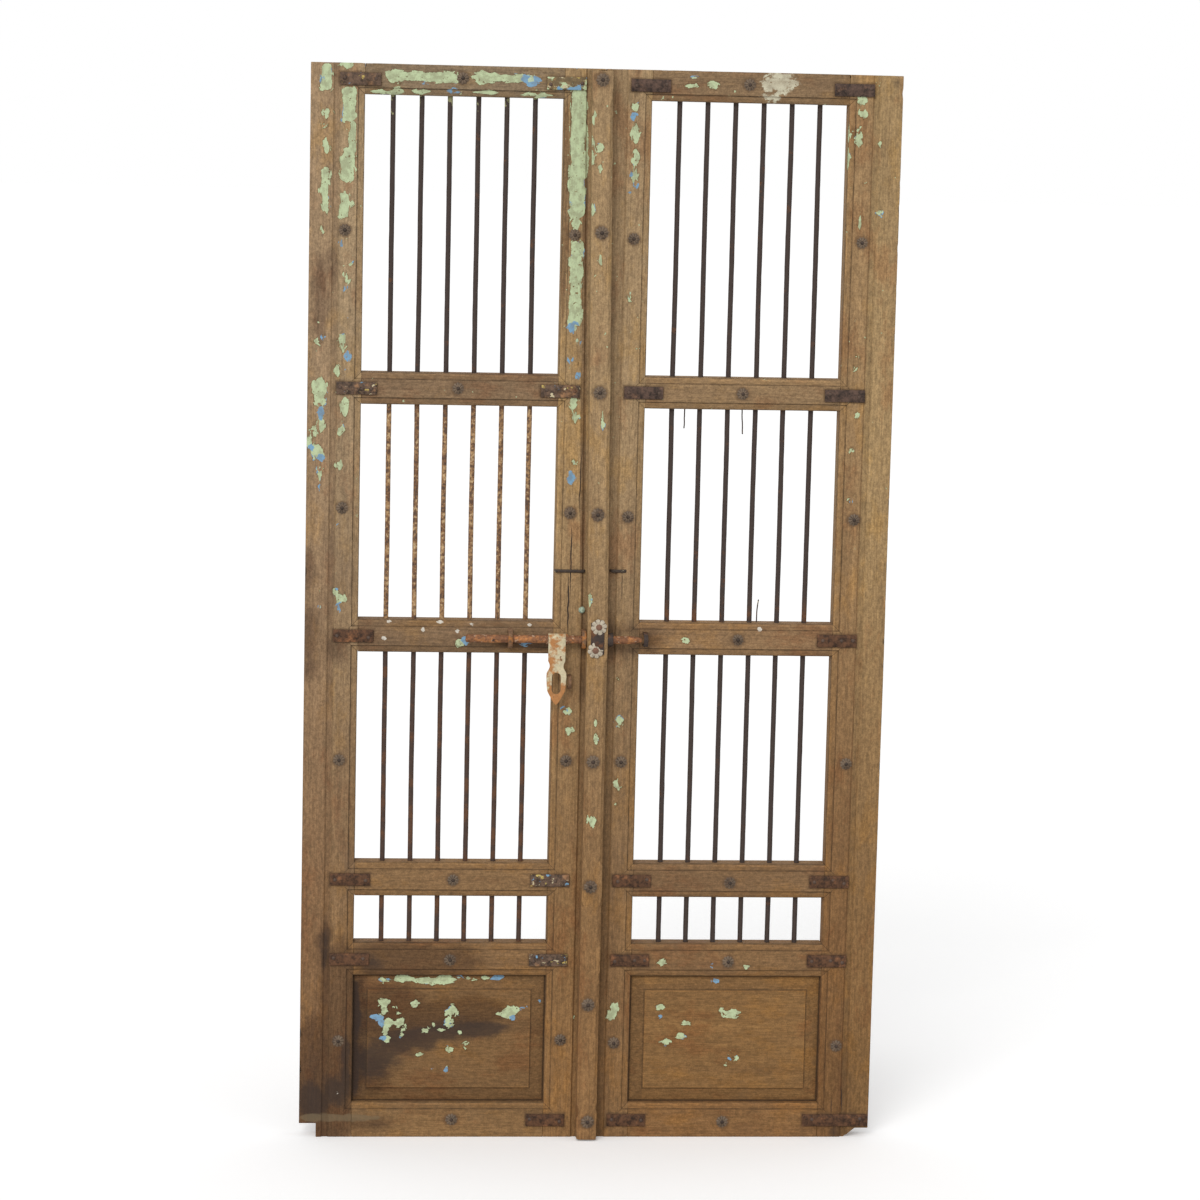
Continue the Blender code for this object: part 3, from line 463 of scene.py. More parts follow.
# Wood: the openings of each leaf and the straps, as rectangles on the face
OPENINGS = {"astragal": []}
for side in SIDES:
    hanging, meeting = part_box(f"{side}_hanging_stile"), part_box(f"{side}_meeting_stile")
    rail_boxes = [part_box(f"{side}_{rail}") for rail in RAILS]
    inner = (hanging[1].x, meeting[0].x) if side == "left" else (meeting[1].x, hanging[0].x)
    OPENINGS[side] = [((inner[0], a[1].z), (inner[1], b[0].z)) for a, b in zip(rail_boxes, rail_boxes[1:])]
STRAP_FACES = []
for name in STRAPS:
    low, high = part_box(name)
    STRAP_FACES.append(((low.x, low.z), (high.x, high.z)))

# How far the front's looks reach back, in metres
FRAME_RELIEF = 0.0105
PANEL_RELIEF = 0.0175
RELIEF_FADE = 0.002

# Mouldings and the panels' fields, in metres
MOULDING = 0.013
MOULDING_REACH = 0.02
QUIRK_HALF = 0.0020
QUIRK_INSET = 0.0008
MITRE_HALF = 0.0011
MITRE_REACH = 0.004
CHANNEL = 0.003
PANEL_GAP_SHADOW = 0.0045
FIELD_MARGIN = 0.028
ARRIS_HALF = 0.0013

# Stains, paint and bump
STRAP_HALO = 0.004
EDGE_SOFT = 0.0004
CRACK_BEND = 0.016
CRACK_DEPTH = 1.5
STREAK_HEIGHT = 0.6
COAT_HEIGHT = 0.35
WOOD_BUMP = 0.0005

# Heights between which the wood turns from its lower to its upper colours: lighter upwards partly as the
# wood's own colour and partly as painted light that falls off towards the foot
SHADE_AND_COLOUR_HEIGHTS = (0.15, 1.55)

# Tone of each piece of wood, next to the rest
TONES = {
    "left_top_rail": (0.70, 0.73, 0.83), "left_cross_rail": (0.68, 0.64, 0.66),
    "left_lock_rail": (0.71, 0.69, 0.74), "left_bottom_rail": (1.07, 1.10, 1.08),
    "left_panel": (0.87, 0.86, 0.82), "left_hanging_stile": (0.97, 0.98, 1.03),
    "left_meeting_stile": (1.07, 1.05, 0.98), "astragal": (1.03, 1.01, 0.97),
    "right_top_rail": (0.68, 0.64, 0.64), "right_cross_rail": (0.81, 0.76, 0.73),
    "right_lock_rail": (0.88, 0.82, 0.80), "right_lower_rail": (0.93, 0.93, 0.97),
    "right_bottom_rail": (1.06, 1.00, 0.91), "right_panel": (1.05, 1.02, 0.88),
    "right_hanging_stile": (0.95, 0.92, 0.86),
}

# Tones of the outer and inner bands of the hanging stiles
STILE_TONES = {
    "left_hanging_stile": ((0.98, 0.96, 0.98), (1.05, 1.07, 1.09)),
    "right_hanging_stile": ((1.09, 1.10, 1.05), (0.95, 0.90, 0.86)),
}
STILE_EDGE = 0.4925
STILE_SOFT = 0.0012

# Tones at the foot of the upright pieces
FOOT_TONES = {"left_hanging_stile": 0.90, "right_hanging_stile": 0.85, "left_meeting_stile": 1.10,
              "astragal": 1.14}
FOOT_END = 0.30
FOOT_START = 0.12


class Wood(Finish):
    """Builds the weathered wood of one piece."""

    def __init__(self, node):
        super().__init__(node + "_wood")
        self.node = node
        self.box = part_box(node)
        size = self.box[1] - self.box[0]
        self.along = "Z" if size.z > size.x else "X"
        self.is_panel = node.endswith("_panel")
        relief = FACE + (PANEL_RELIEF if self.is_panel else FRAME_RELIEF)
        self.front = self.step(self.y, relief, relief + RELIEF_FADE, 1.0, 0.0)
        self.sway = self.noise(34.0, 5.0, 0.6)
        self.streaks = self.grained(30.0, 5.0, 0.6, 0.06, "", 0.5)
        self.fibres = self.grained(430.0, 4.0, 0.65, 0.05, "fibres")
        self.height = self.math("MULTIPLY_ADD", self.streaks, STREAK_HEIGHT, self.fibres)

    def grained(self, scale, detail, roughness, stretch, name, distortion=0.0):
        """Adds noise that is stretched along the grain, from a place of the piece's own."""
        vector = self.stretched(self.along, stretch, self.node + name)
        return self.noise(scale, detail, roughness, vector, distortion)

    def near(self, low, high, margin):
        """Tells whether the piece's box comes near a rectangle on the face."""
        start, end = self.box
        across = start.x < high[0] + margin and end.x > low[0] - margin
        return across and start.z < high[1] + margin and end.z > low[1] - margin

    def grain(self):
        """Makes the wood: lighter at the top of the doors, partly by its own colour and partly by painted
        light that falls off downwards, darker and redder at the foot.
        """
        mottle = self.grained(190.0, 3.0, 0.6, 0.6, "mottle")
        grit = self.noise(430.0, 2.0, 0.5)
        blotches = self.grained(6.5, 6.0, 0.62, 0.6, "blotches", 0.4)
        patina = self.grained(15.0, 6.0, 0.68, 0.45, "patina")
        pits = self.grained(150.0, 4.0, 0.7, 0.3, "specks")
        lower, upper = self.ramp(self.streaks, WOOD_LOW), self.ramp(self.streaks, WOOD_HIGH)
        # Lighter upwards: partly the wood's own colour, partly painted light falling off downwards
        self.colour = self.mix(self.step(self.z, *SHADE_AND_COLOUR_HEIGHTS), lower, upper)
        shade = self.product(self.step(mottle, *NOISE_MIDDLE, 0.81, 1.16),
                             self.step(self.fibres, 0.28, 0.72, 0.80, 1.16),
                             self.step(grit, *NOISE_MIDDLE, 0.86, 1.14))
        self.tint(self.grey(shade))
        self.coat(DULL, self.step(blotches, 0.52, 0.72, 0.0, 0.34))
        self.tint(GOLDEN, self.step(patina, 0.52, 0.66))
        self.tint(RUSSET, self.step(patina, 0.48, 0.34))
        self.coat(GRIME_AND_SHADE, self.step(pits, 0.63, 0.72, 0.0, 0.45))
        if self.node in TONES:
            self.tint(TONES[self.node])
        if self.node in STILE_TONES:
            out = self.math("ABSOLUTE", self.x)
            inner = self.step(out, STILE_EDGE + STILE_SOFT, STILE_EDGE - STILE_SOFT)
            self.tint(self.mix(inner, *STILE_TONES[self.node]))
        if self.node in FOOT_TONES:
            self.tint((FOOT_TONES[self.node],) * 3, self.step(self.z, FOOT_END, FOOT_START))

    def stains(self):
        """Darkens the wood by smoke and by a painted shadow of the hasp, round the iron, and where a strap
        has gone.
        """
        torn = self.grained(70.0, 5.0, 0.66, 0.4, "torn")
        if self.node in SMOKE_AND_SHADOW_PATCHES:
            # Smoke stains, and a painted shadow of the hasp beside the strip
            reach = self.swayed(self.field("smoke"), (self.sway, 0.034), (torn, 0.030))
            self.tint(STAIN_AND_SHADOW_TONE, self.step(reach, 0.018, -0.020), self.front)
        if self.node in SOOT_PATCHES:
            reach = self.swayed(self.field("soot"), (self.sway, 0.034), (torn, 0.044))
            self.coat(SOOT, self.step(reach, 0.012, -0.018, 0.0, 0.78), self.front)
        if self.node in GHOST_PATCHES:
            reach = self.swayed(self.field("ghost"), (self.sway, 0.016))
            self.coat(BARE, self.step(reach, 0.002, -0.005, 0.0, 0.60), self.front)
        irons = [self.outside(*face) for face in STRAP_FACES if self.near(*face, STRAP_HALO)]
        if self.node in STUDS:
            irons.append(self.field("studs"))
        if irons:
            reach = self.swayed(self.fold("MINIMUM", irons), (self.sway, 0.012))
            self.coat(RUST_STAIN, self.step(reach, 0.0050, -0.001, 0.0, 0.60), self.front)

    def mouldings(self):
        """Puts grime and painted shade in the sunk quirks and channels, painted shadow in the gap round the
        panels, dark mitre joints, and wear with a painted highlight on the mouldings.
        """
        depth = self.math("SUBTRACT", self.y, FACE)
        # Grime and painted shade in the sunk quirks and channels
        sunk_dirt_and_shade = (self.step(depth, 0.0006, 0.0024), self.step(depth, CHANNEL + 0.0012, CHANNEL + 0.0004))
        self.coat(GRIME_AND_SHADE, *sunk_dirt_and_shade, self.step(self.sway, 0.25, 0.75, 0.04, 0.24))
        leaf = self.node.split("_")[0]
        edges = [edge for edge in OPENINGS[leaf] if self.near(*edge, MOULDING_REACH)]
        if self.is_panel:
            self.fielded(*edges[0])
            # A dark line of painted shadow and grime in the gap round the panel
            rim = self.fold("MINIMUM", [self.math("ABSOLUTE", self.outside(*edge)) for edge in edges])
            self.coat(GRIME_AND_SHADE, self.step(rim, PANEL_GAP_SHADOW, 0.001, 0.0, 0.85), self.front)
        elif edges:
            self.moulded(edges)

    def fielded(self, start, end):
        """Darkens a raised panel's sloping margins as painted shade, most on the left, with a painted
        highlight and wear along the field's edge and a line of grime and painted shade just outside it.
        """
        left = start[0] + FIELD_MARGIN
        low = start[1] + FIELD_MARGIN
        out = self.outside((left, low), (end[0] - FIELD_MARGIN, end[1] - FIELD_MARGIN))
        # Painted shade on the sloping margins, darker on the left
        margin = self.mix(self.step(self.x, left, left - ARRIS_HALF), MARGIN_SHADE, LEFT_MARGIN_SHADE)
        self.tint(margin, self.step(out, 0.0, ARRIS_HALF), self.front)
        # A painted highlight, with wear, along the field's arris
        worn = self.step(self.apart(out, -ARRIS_HALF), 1.6 * ARRIS_HALF, 0.4 * ARRIS_HALF)
        self.tint(WEAR_AND_HIGHLIGHT, worn, self.step(self.sway, 0.30, 0.60, 0.45, 1.0), self.front)
        # A line of grime and painted shade just outside the arris
        line = self.step(self.apart(out, ARRIS_HALF), 1.6 * ARRIS_HALF, 0.2 * ARRIS_HALF)
        self.coat(GRIME_AND_SHADE, line, self.step(self.sway, 0.35, 0.70, 0.30, 0.65), self.front)

    def moulded(self, edges):
        """Lightens the mouldings round some openings as wear and a painted highlight, with grime and painted
        shade in their quirks and dark lines at their mitres.
        """
        outs, mitres = [], []
        for edge in edges:
            sideways, upright = self.rectangle(*edge)
            out = self.math("MAXIMUM", sideways, upright)
            outs.append(self.apart(out, MOULDING / 2))
            beyond = self.math("SUBTRACT", out, MOULDING + MITRE_REACH)
            mitres.append(self.math("MAXIMUM", self.apart(sideways, upright), beyond))
        band = self.fold("MINIMUM", outs)
        # Lighter band along the mouldings: wear and a painted highlight
        self.tint(WEAR_AND_HIGHLIGHT, self.step(band, 0.0055, 0.0040), self.step(self.sway, 0.30, 0.60), self.front)
        # Grime and painted shade in the quirks; dark lines at the mitre joints
        quirk = self.step(self.apart(band, MOULDING / 2 - QUIRK_INSET), QUIRK_HALF, 0.0)
        quirk = self.product(quirk, self.step(self.sway, 0.35, 0.70, 0.20, 0.65))
        mitre = self.step(self.fold("MINIMUM", mitres), MITRE_HALF, 0.0, 0.0, 0.85)
        self.coat(GRIME_AND_SHADE, self.math("MAXIMUM", quirk, mitre), self.front)

    def cracks(self):
        """Splits the wood along the grain."""
        bend = self.math("SUBTRACT", self.noise(9.0, 3.0, 0.6), 0.5)
        for x, z, half_x, half_z in CRACKS[self.node]:
            off = self.math("MULTIPLY_ADD", bend, CRACK_BEND, self.math("SUBTRACT", self.x, x * MM))
            width = self.step(self.apart(self.z, z * MM), half_z * MM, 0.3 * half_z * MM, 0.0, half_x * MM)
            split = self.product(self.math("LESS_THAN", self.math("ABSOLUTE", off), width), self.front)
            self.coat(SOOT, split)
            self.height = self.math("MULTIPLY_ADD", split, -CRACK_DEPTH, self.height)

    def old_paint(self):
        """Leaves angular flakes of green paint over blue, with dirt and a painted shadow along their edges.
        """
        ragged = self.grained(85.0, 6.0, 0.68, 0.75, "ragged")
        coarse = self.grained(27.0, 3.0, 0.55, 0.7, "coarse")
        flakes = self.cells(80.0, self.stretched(self.along, 0.6, self.node + "flakes"))
        chips = self.noise(170.0, 4.0, 0.62)
        shakes = (ragged, 0.018), (coarse, 0.010), (flakes, 0.010)
        whole = self.product(self.step(chips, 0.660, 0.640), self.front)
        layers = []
        if self.node in GREEN_PATCHES:
            green = self.swayed(self.field("green"), *shakes)
            flake = self.step(green, EDGE_SOFT, -EDGE_SOFT)
            rim = self.product(self.step(green, 0.0020, 0.0016), self.step(coarse, 0.61, 0.64))
            inner_rim = self.product(self.step(green, -0.0030, -0.0022), self.step(self.sway, 0.64, 0.66),
                                     flake)
            layers += [(rim, PAINT_BLUE), (flake, PAINT_GREEN), (inner_rim, PAINT_BLUE)]
        if self.node in BLUE_PATCHES:
            blue = self.swayed(self.field("blue"), *shakes)
            mixed = self.mix(self.step(flakes, 0.66, 0.70, 0.0, 0.85), PAINT_BLUE, PAINT_GREEN)
            layers.append((self.step(blue, EDGE_SOFT, -EDGE_SOFT), mixed))
        if self.node in WHITE_PATCHES:
            white = self.swayed(self.field("white"), (ragged, 0.012))
            layers.append((self.step(white, EDGE_SOFT, -EDGE_SOFT), SPLASH))
        if self.node in CREAM_PATCHES:
            cream = self.swayed(self.field("cream"), (coarse, 0.020), (ragged, 0.034), (flakes, 0.010))
            brushed = self.step(self.streaks, 0.34, 0.58, 0.60, 1.0)
            layers.append((self.product(self.step(cream, 0.002, -0.003), brushed), PAINT_CREAM))
        dots = self.step(self.noise(105.0, 2.0, 0.5), 0.735, 0.745)
        layers.append((self.product(dots, self.step(self.z, 0.9, 1.6)), PAINT_GREEN))
        faded = self.step(ragged, 0.40, 0.62, 0.0, 0.40)
        shares = [self.product(reach, whole) for reach, _ in layers]
        for share, (_, paint) in zip(shares, layers):
            self.coat(self.mix(faded, paint, DULL), share)
        painted = self.fold("MAXIMUM", shares)
        if self.node in GREEN_PATCHES:
            bare = self.math("SUBTRACT", 1.0, painted)
            # Dirt and a painted shadow on the bare wood just outside the green paint
            self.tint(PAINT_EDGE_DIRT_AND_SHADOW, self.step(green, 0.0026, 0.0003), bare, self.front)
        self.height = self.math("MULTIPLY_ADD", painted, COAT_HEIGHT, self.height)

    def back(self):
        """Gives the back damp at the foot, rust round the nail points, and traces of paint."""
        rear = self.step(self.y, BACK - 0.004, BACK - 0.002)
        field = self.grained(15.0, 6.0, 0.68, 0.4, "back")
        damp = self.step(self.math("MULTIPLY_ADD", field, 0.5, self.z), 0.62, 0.26)
        damp = self.math("MAXIMUM", damp, self.step(field, 0.44, 0.30, 0.0, 0.8))
        self.tint(STAIN_AND_SHADOW_TONE, damp, rear)
        if NAIL_POINTS.get(self.node):
            flat = self.add("ShaderNodeCombineXYZ", {"X": self.x, "Z": self.z}).outputs[0]
            away = [self.vector("DISTANCE", flat, (x, 0.0, z))["Value"] for x, z in NAIL_POINTS[self.node]]
            rusted = self.swayed(self.fold("MINIMUM", away), (self.sway, 0.030))
            self.coat(RUST_STAIN, self.step(rusted, 0.018, 0.004, 0.0, 0.7), rear)
        paint = self.mix(self.step(self.sway, 0.52, 0.56), PAINT_GREEN, PAINT_BLUE)
        faded = self.mix(self.step(self.fibres, 0.36, 0.60, 0.10, 0.50), paint, DULL)
        self.coat(faded, self.step(field, 0.630, 0.638), rear)


def aged_wood(node):
    """Makes the material of one piece of wood."""
    wood = Wood(node)
    wood.grain()
    wood.stains()
    wood.mouldings()
    if node in CRACKS:
        wood.cracks()
    wood.old_paint()
    wood.back()
    return wood.finish(wood.step(wood.streaks, *NOISE_MIDDLE, 0.74, 0.90), wood.height, WOOD_BUMP, gloss=0.25)


# Iron
IRON_GLOSS = 0.3
SPREAD_EDGE = 0.72
RUST_SPREAD = 0.4
FLECK_SPREAD = 0.45
FLECK_HEIGHT = 0.4


def iron(name, base, rust, rust_share, flecks=(), relief=0.0006, scale=120.0, roughness=(0.55, 0.85),
         metallic=0.15, rust_heights=None, pitting=(0.62, 1.3), rosette=None):
    """Makes rusted iron, with flecks of paint, more rust at one end, and a rosette's nail and valleys."""
    metal = Finish(name)
    pits = metal.noise(scale, 6.0, 0.68)
    bloom = metal.noise(scale * 0.3, 5.0, 0.6)
    if rust_heights:
        bloom = metal.math("ADD", bloom, metal.step(metal.z, *rust_heights, 0.0, 0.22))
    low = SPREAD_EDGE - RUST_SPREAD * rust_share
    metal.colour = metal.mix(metal.step(bloom, low, low + 0.12), base, rust)
    if rosette:
        nail, valley, valley_start = rosette
        metal.coat(valley, metal.step(metal.field("valley"), valley_start, 0.75, 0.0, 0.85))
        metal.coat(nail, metal.field("nail"))
    metal.tint(metal.grey(metal.step(pits, 0.32, 0.68, *pitting)))
    height = pits
    for index, (paint, share) in enumerate(flecks):
        field = metal.noise(scale * 0.55, 5.0, 0.6, metal.stretched("X", 0.8, f"{name}{index}"))
        edge = SPREAD_EDGE - FLECK_SPREAD * share
        fleck = metal.step(field, edge, edge + 0.03)
        metal.coat(paint, fleck)
        height = metal.math("MULTIPLY_ADD", fleck, FLECK_HEIGHT, height)
    return metal.finish(metal.step(pits, *NOISE_MIDDLE, *roughness), height, relief, metallic, IRON_GLOSS)


BARE_BAR = (0.215, 0.108, 0.052)
BAR_BUMP = 0.0004


def bar_iron(name, rusted):
    """Makes the iron of the bars: dark, and on one leaf bare and rusted between two of the rails."""
    metal = Finish(name)
    pits = metal.noise(260.0, 5.0, 0.65)
    blotch = metal.noise(38.0, 5.0, 0.65)
    specks = metal.noise(170.0, 3.0, 0.6)
    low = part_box("left_lock_rail")[1].z
    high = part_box("left_cross_rail")[0].z
    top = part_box("left_top_rail")[0].z
    if rusted:
        half = (high - low) / 2
        zone = metal.step(metal.apart(metal.z, low + half), half + 0.02, half)
        bare = metal.mix(metal.step(blotch, 0.36, 0.60), RUST_TAN, BARE_BAR)
        bare = metal.mix(metal.step(specks, 0.53, 0.58, 0.0, 0.8), bare, IRON_BROWN)
        bare = metal.mix(metal.step(specks, 0.44, 0.39, 0.0, 0.9), bare, RUST_PALE)
    else:
        zone = metal.product(metal.step(metal.z, low + 0.06, low),
                             metal.step(metal.z, low - 0.03, low - 0.01))
        bare = metal.mix(metal.step(blotch, 0.40, 0.55), RUST_DEEP, IRON_DARK)
    metal.colour = metal.mix(metal.step(blotch, 0.60, 0.72, 0.0, 0.7), IRON_DARK, RUST_DEEP)
    metal.coat(RUST_TAN, metal.step(pits, 0.70, 0.74, 0.0, 0.7))
    metal.coat(bare, zone)
    if rusted:
        metal.coat(RUST_DEEP, metal.step(metal.z, low, low - 0.06),
                   metal.step(blotch, 0.46, 0.62, 0.15, 0.75))
    upper = metal.step(metal.z, top - 0.070, top - 0.005, 0.0, 0.20 if rusted else 0.02)
    chips = metal.step(metal.math("ADD", blotch, upper), 0.735, 0.755)
    metal.coat(OLD_OLIVE if rusted else RUST_ORANGE, chips)
    metal.tint(metal.grey(metal.step(pits, *NOISE_MIDDLE, 0.8, 1.25)))
    return metal.finish(metal.step(pits, *NOISE_MIDDLE, 0.5, 0.8), pits, BAR_BUMP, 0.2, IRON_GLOSS)


STRAP_PITTING = (0.33, 1.85)
STRAP_RELIEF = 0.0009
STRAP_IRON = iron("strap_iron", (0.080, 0.049, 0.036), (0.160, 0.087, 0.053), 0.45,
                  relief=STRAP_RELIEF, pitting=STRAP_PITTING)
RUSTY_STRAP = iron("rusty_strap_iron", (0.090, 0.043, 0.022), (0.172, 0.076, 0.034), 0.45,
                   relief=STRAP_RELIEF, pitting=STRAP_PITTING)
FLECKED_STRAP = iron("flecked_strap_iron", (0.110, 0.069, 0.046), (0.240, 0.128, 0.064), 0.46,
                     ((YELLOW, 0.21), (PAINT_BLUE, 0.17), (CREAM, 0.19)),
                     relief=STRAP_RELIEF, pitting=STRAP_PITTING)
PAINTED_STRAP = iron("painted_strap_iron", (0.200, 0.140, 0.070), (0.310, 0.195, 0.080), 0.46,
                     ((PAINT_GREEN, 0.40), (CREAM, 0.36), (YELLOW, 0.30), (PAINT_BLUE, 0.36)),
                     relief=STRAP_RELIEF)
STUD_IRON = iron("stud_iron", (0.172, 0.122, 0.082), (0.112, 0.070, 0.044), 0.50, roughness=(0.48, 0.75),
                 rosette=((0.062, 0.042, 0.031), (0.105, 0.072, 0.048), 0.15))
NAIL_IRON = iron("nail_iron", (0.105, 0.068, 0.050), RUST_DEEP, 0.40, roughness=(0.45, 0.75))
BOLT_IRON = iron("bolt_iron", (0.235, 0.105, 0.050), (0.450, 0.190, 0.070), 0.58,
                 (((0.520, 0.350, 0.235), 0.26), ((0.085, 0.048, 0.032), 0.20)),
                 relief=0.0008, scale=210.0, pitting=(0.60, 1.35))
STAPLE_IRON = iron("staple_iron", (0.210, 0.115, 0.060), RUST_ORANGE, 0.52, scale=180.0)
HASP_PAINT = iron("hasp_paint", (0.660, 0.565, 0.365), (0.480, 0.215, 0.075), 0.555,
                  (((0.230, 0.115, 0.052), 0.20),), metallic=0.0, scale=165.0, pitting=(0.82, 1.08),
                  rust_heights=(LOCK_TOP - 0.080, LOCK_TOP - 0.165))
FLOWER_PAINT = iron("flower_paint", (0.560, 0.485, 0.370), (0.250, 0.165, 0.105), 0.44, metallic=0.0,
                    scale=260.0, pitting=(0.72, 1.12),
                    rosette=((0.230, 0.118, 0.075), (0.095, 0.062, 0.042), 0.50))
NAIL_PAINT = iron("nail_paint", (0.370, 0.460, 0.350), (0.250, 0.330, 0.290), 0.40, metallic=0.0,
                  scale=260.0)
CRAMP_IRON = iron("cramp_iron", (0.062, 0.045, 0.034), RUST_DEEP, 0.35, ((CREAM, 0.20),), scale=200.0)
PLATE_IRON = iron("plate_iron", IRON_DARK, RUST_DEEP, 0.45)
LEFT_BAR_IRON = bar_iron("left_bar_iron", True)
RIGHT_BAR_IRON = bar_iron("right_bar_iron", False)


# Pieces
SAME_PLANE = math.radians(0.2)
TURN_TO_FACE = Matrix.Rotation(math.radians(90), 4, "X")
TURN_TO_BACK = Matrix.Rotation(math.radians(-90), 4, "X")

# Angles in degrees above which an edge is shaded sharp
IRON_SHARP = 35
STRAP_SHARP = 40
ROSETTE_SHARP = 45
BAR_SHARP = 50
ROUND_SHARP = 60


def put(name, data):
    """Puts an object with some data into the scene."""
    made = bpy.data.objects.new(name, data)
    bpy.context.scene.collection.objects.link(made)
    return made


def to_mesh(name, bm):
    """Turns a bmesh into a mesh."""
    mesh = bpy.data.meshes.new(name)
    bm.to_mesh(mesh)
    bm.free()
    return mesh


def add_piece(name, bm, body, material, smooth_angle=None):
    """Turns a bmesh in its place into a piece that rides on a body."""
    mesh = to_mesh(name, bm)
    mesh.materials.append(material)
    if smooth_angle:
        mesh.shade_smooth()
        mesh.set_sharp_from_angle(angle=math.radians(smooth_angle))
    piece = put(name, mesh)
    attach(piece, body)
    return piece


def dress(node, ending, bm, material, smooth_angle=None):
    """Adds a piece that takes a node's place and rides on its body."""
    piece = add_piece(node + ending, bm, NODES[node]["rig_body"], material, smooth_angle)
    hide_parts(node)
    return piece


def middle_of(node):
    """Returns the middle of a node's box."""
    low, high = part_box(node)
    return (low + high) / 2


def node_copy(node):
    """Copies a node's shape, with as few faces as it can have."""
    bm = bmesh.new()
    bm.from_mesh(NODES[node].data)
    bmesh.ops.remove_doubles(bm, verts=bm.verts, dist=WELD)
    bmesh.ops.dissolve_limit(bm, angle_limit=SAME_PLANE, verts=bm.verts, edges=bm.edges)
    return bm


def round_edges(bm, edges, width, clamp):
    """Rounds some edges of a shape."""
    bmesh.ops.bevel(bm, geom=edges, offset=width, offset_type="OFFSET", segments=2, profile=0.5,
                    affect="EDGES", clamp_overlap=clamp, material=-1)


def wear(bm, width, least_length, least_angle):
    """Rounds the long outer edges of a shape."""
    edges = []
    for edge in bm.edges:
        if len(edge.link_faces) == 2 and edge.is_convex and edge.calc_length() > least_length:
            if edge.calc_face_angle() > math.radians(least_angle):
                edges.append(edge)
    round_edges(bm, edges, width, False)
    return bm


def rounded_block(low, high, rounding):
    """Makes a block between two corners, with rounded edges."""
    bm = bmesh.new()
    place = Matrix.Translation((low + high) / 2) @ Matrix.Diagonal((*(high - low), 1.0))
    bmesh.ops.create_cube(bm, size=1.0, matrix=place)
    round_edges(bm, bm.edges[:], rounding, True)
    return bm


# Narrow slices of the front faces, and the least y of a normal that faces the front
SLICE = 0.004
FACING = -0.3


def slice_front(bm, axis):
    """Cuts the front faces into narrow slices across one axis, for paint and stains to follow."""
    def low(face):
        return min(vert.co[axis] for vert in face.verts)

    def high(face):
        return max(vert.co[axis] for vert in face.verts)

    bm.normal_update()
    waiting = sorted((face for face in bm.faces if face.normal.y < FACING), key=low, reverse=True)
    top = max(high(face) for face in waiting)
    across = Vector([float(index == axis) for index in range(3)])
    place = SLICE * (math.floor(low(waiting[-1]) / SLICE) + 1)
    active = []
    while place < top:
        while waiting and low(waiting[-1]) < place:
            active.append(waiting.pop())
        rims = {edge for face in active for edge in face.edges}
        rims |= {vert for face in active for vert in face.verts}
        made = bmesh.ops.bisect_plane(bm, geom=active + list(rims), dist=WELD, plane_co=across * place,
                                      plane_no=across)["geom"]
        faces = [part for part in made if isinstance(part, bmesh.types.BMFace)]
        active = [face for face in faces if high(face) > place + WELD]
        place += SLICE


def strip_lean(z):
    """Returns how far the strip over the joint leans at a height."""
    return -JOINT_LEAN * np.maximum(0.0, z - LOCK_TOP)


# How patches turn into distances: reach and blending in metres, outlines as powers
FAR = 0.06
PATCH_BLEND = 0.004
OVAL_POWER = 2.0
FLAKE_POWER = 1.35
FLAKE_SIZES = {"green": 0.97, "blue": 0.78, "white": 0.95}
RIGHT_FLAKES = 0.86
BAND_STRETCH = 1.8
BAND_CORNER = 0.8
OFF_CENTRE = 1e-5


def patch_field(x, z, spots, power, size):
    """Measures how far places are from the nearest of some patches, in metres; negative inside."""
    field = np.full(len(x), FAR)
    for middle_x, middle_z, half_x, half_z, *turn in spots:
        half_x, half_z = size * half_x, size * half_z
        away_x = x - middle_x * MM + OFF_CENTRE
        away_z = z - middle_z * MM
        if turn:
            c, s = math.cos(math.radians(turn[0])), math.sin(math.radians(turn[0]))
            away_x, away_z = c * away_x + s * away_z, c * away_z - s * away_x
        away = np.hypot(away_x, away_z)
        shares = np.abs(away_x / (half_x * MM)) ** power + np.abs(away_z / (half_z * MM)) ** power
        reach = away - away / shares ** (1.0 / power)
        share = np.clip(0.5 + 0.5 * (field - reach) / PATCH_BLEND, 0.0, 1.0)
        field = field + (reach - field) * share - PATCH_BLEND * share * (1.0 - share)
    return field


def band_field(x, z, bands):
    """Measures how far places are from the nearest of some bands, stretched to keep them straight."""
    field = np.full(len(x), FAR)
    for middle_x, middle_z, half_x, half_z in bands:
        corner = BAND_CORNER * min(half_x, half_z)
        out_x = np.abs(x - middle_x * MM) - (half_x - corner) * MM
        out_z = np.abs(z - middle_z * MM) - (half_z - corner) * MM
        inside = np.minimum(np.maximum(out_x, out_z), 0.0)
        reach = np.hypot(np.maximum(out_x, 0.0), np.maximum(out_z, 0.0)) + inside
        field = np.minimum(field, BAND_STRETCH * (reach - corner * MM))
    return field


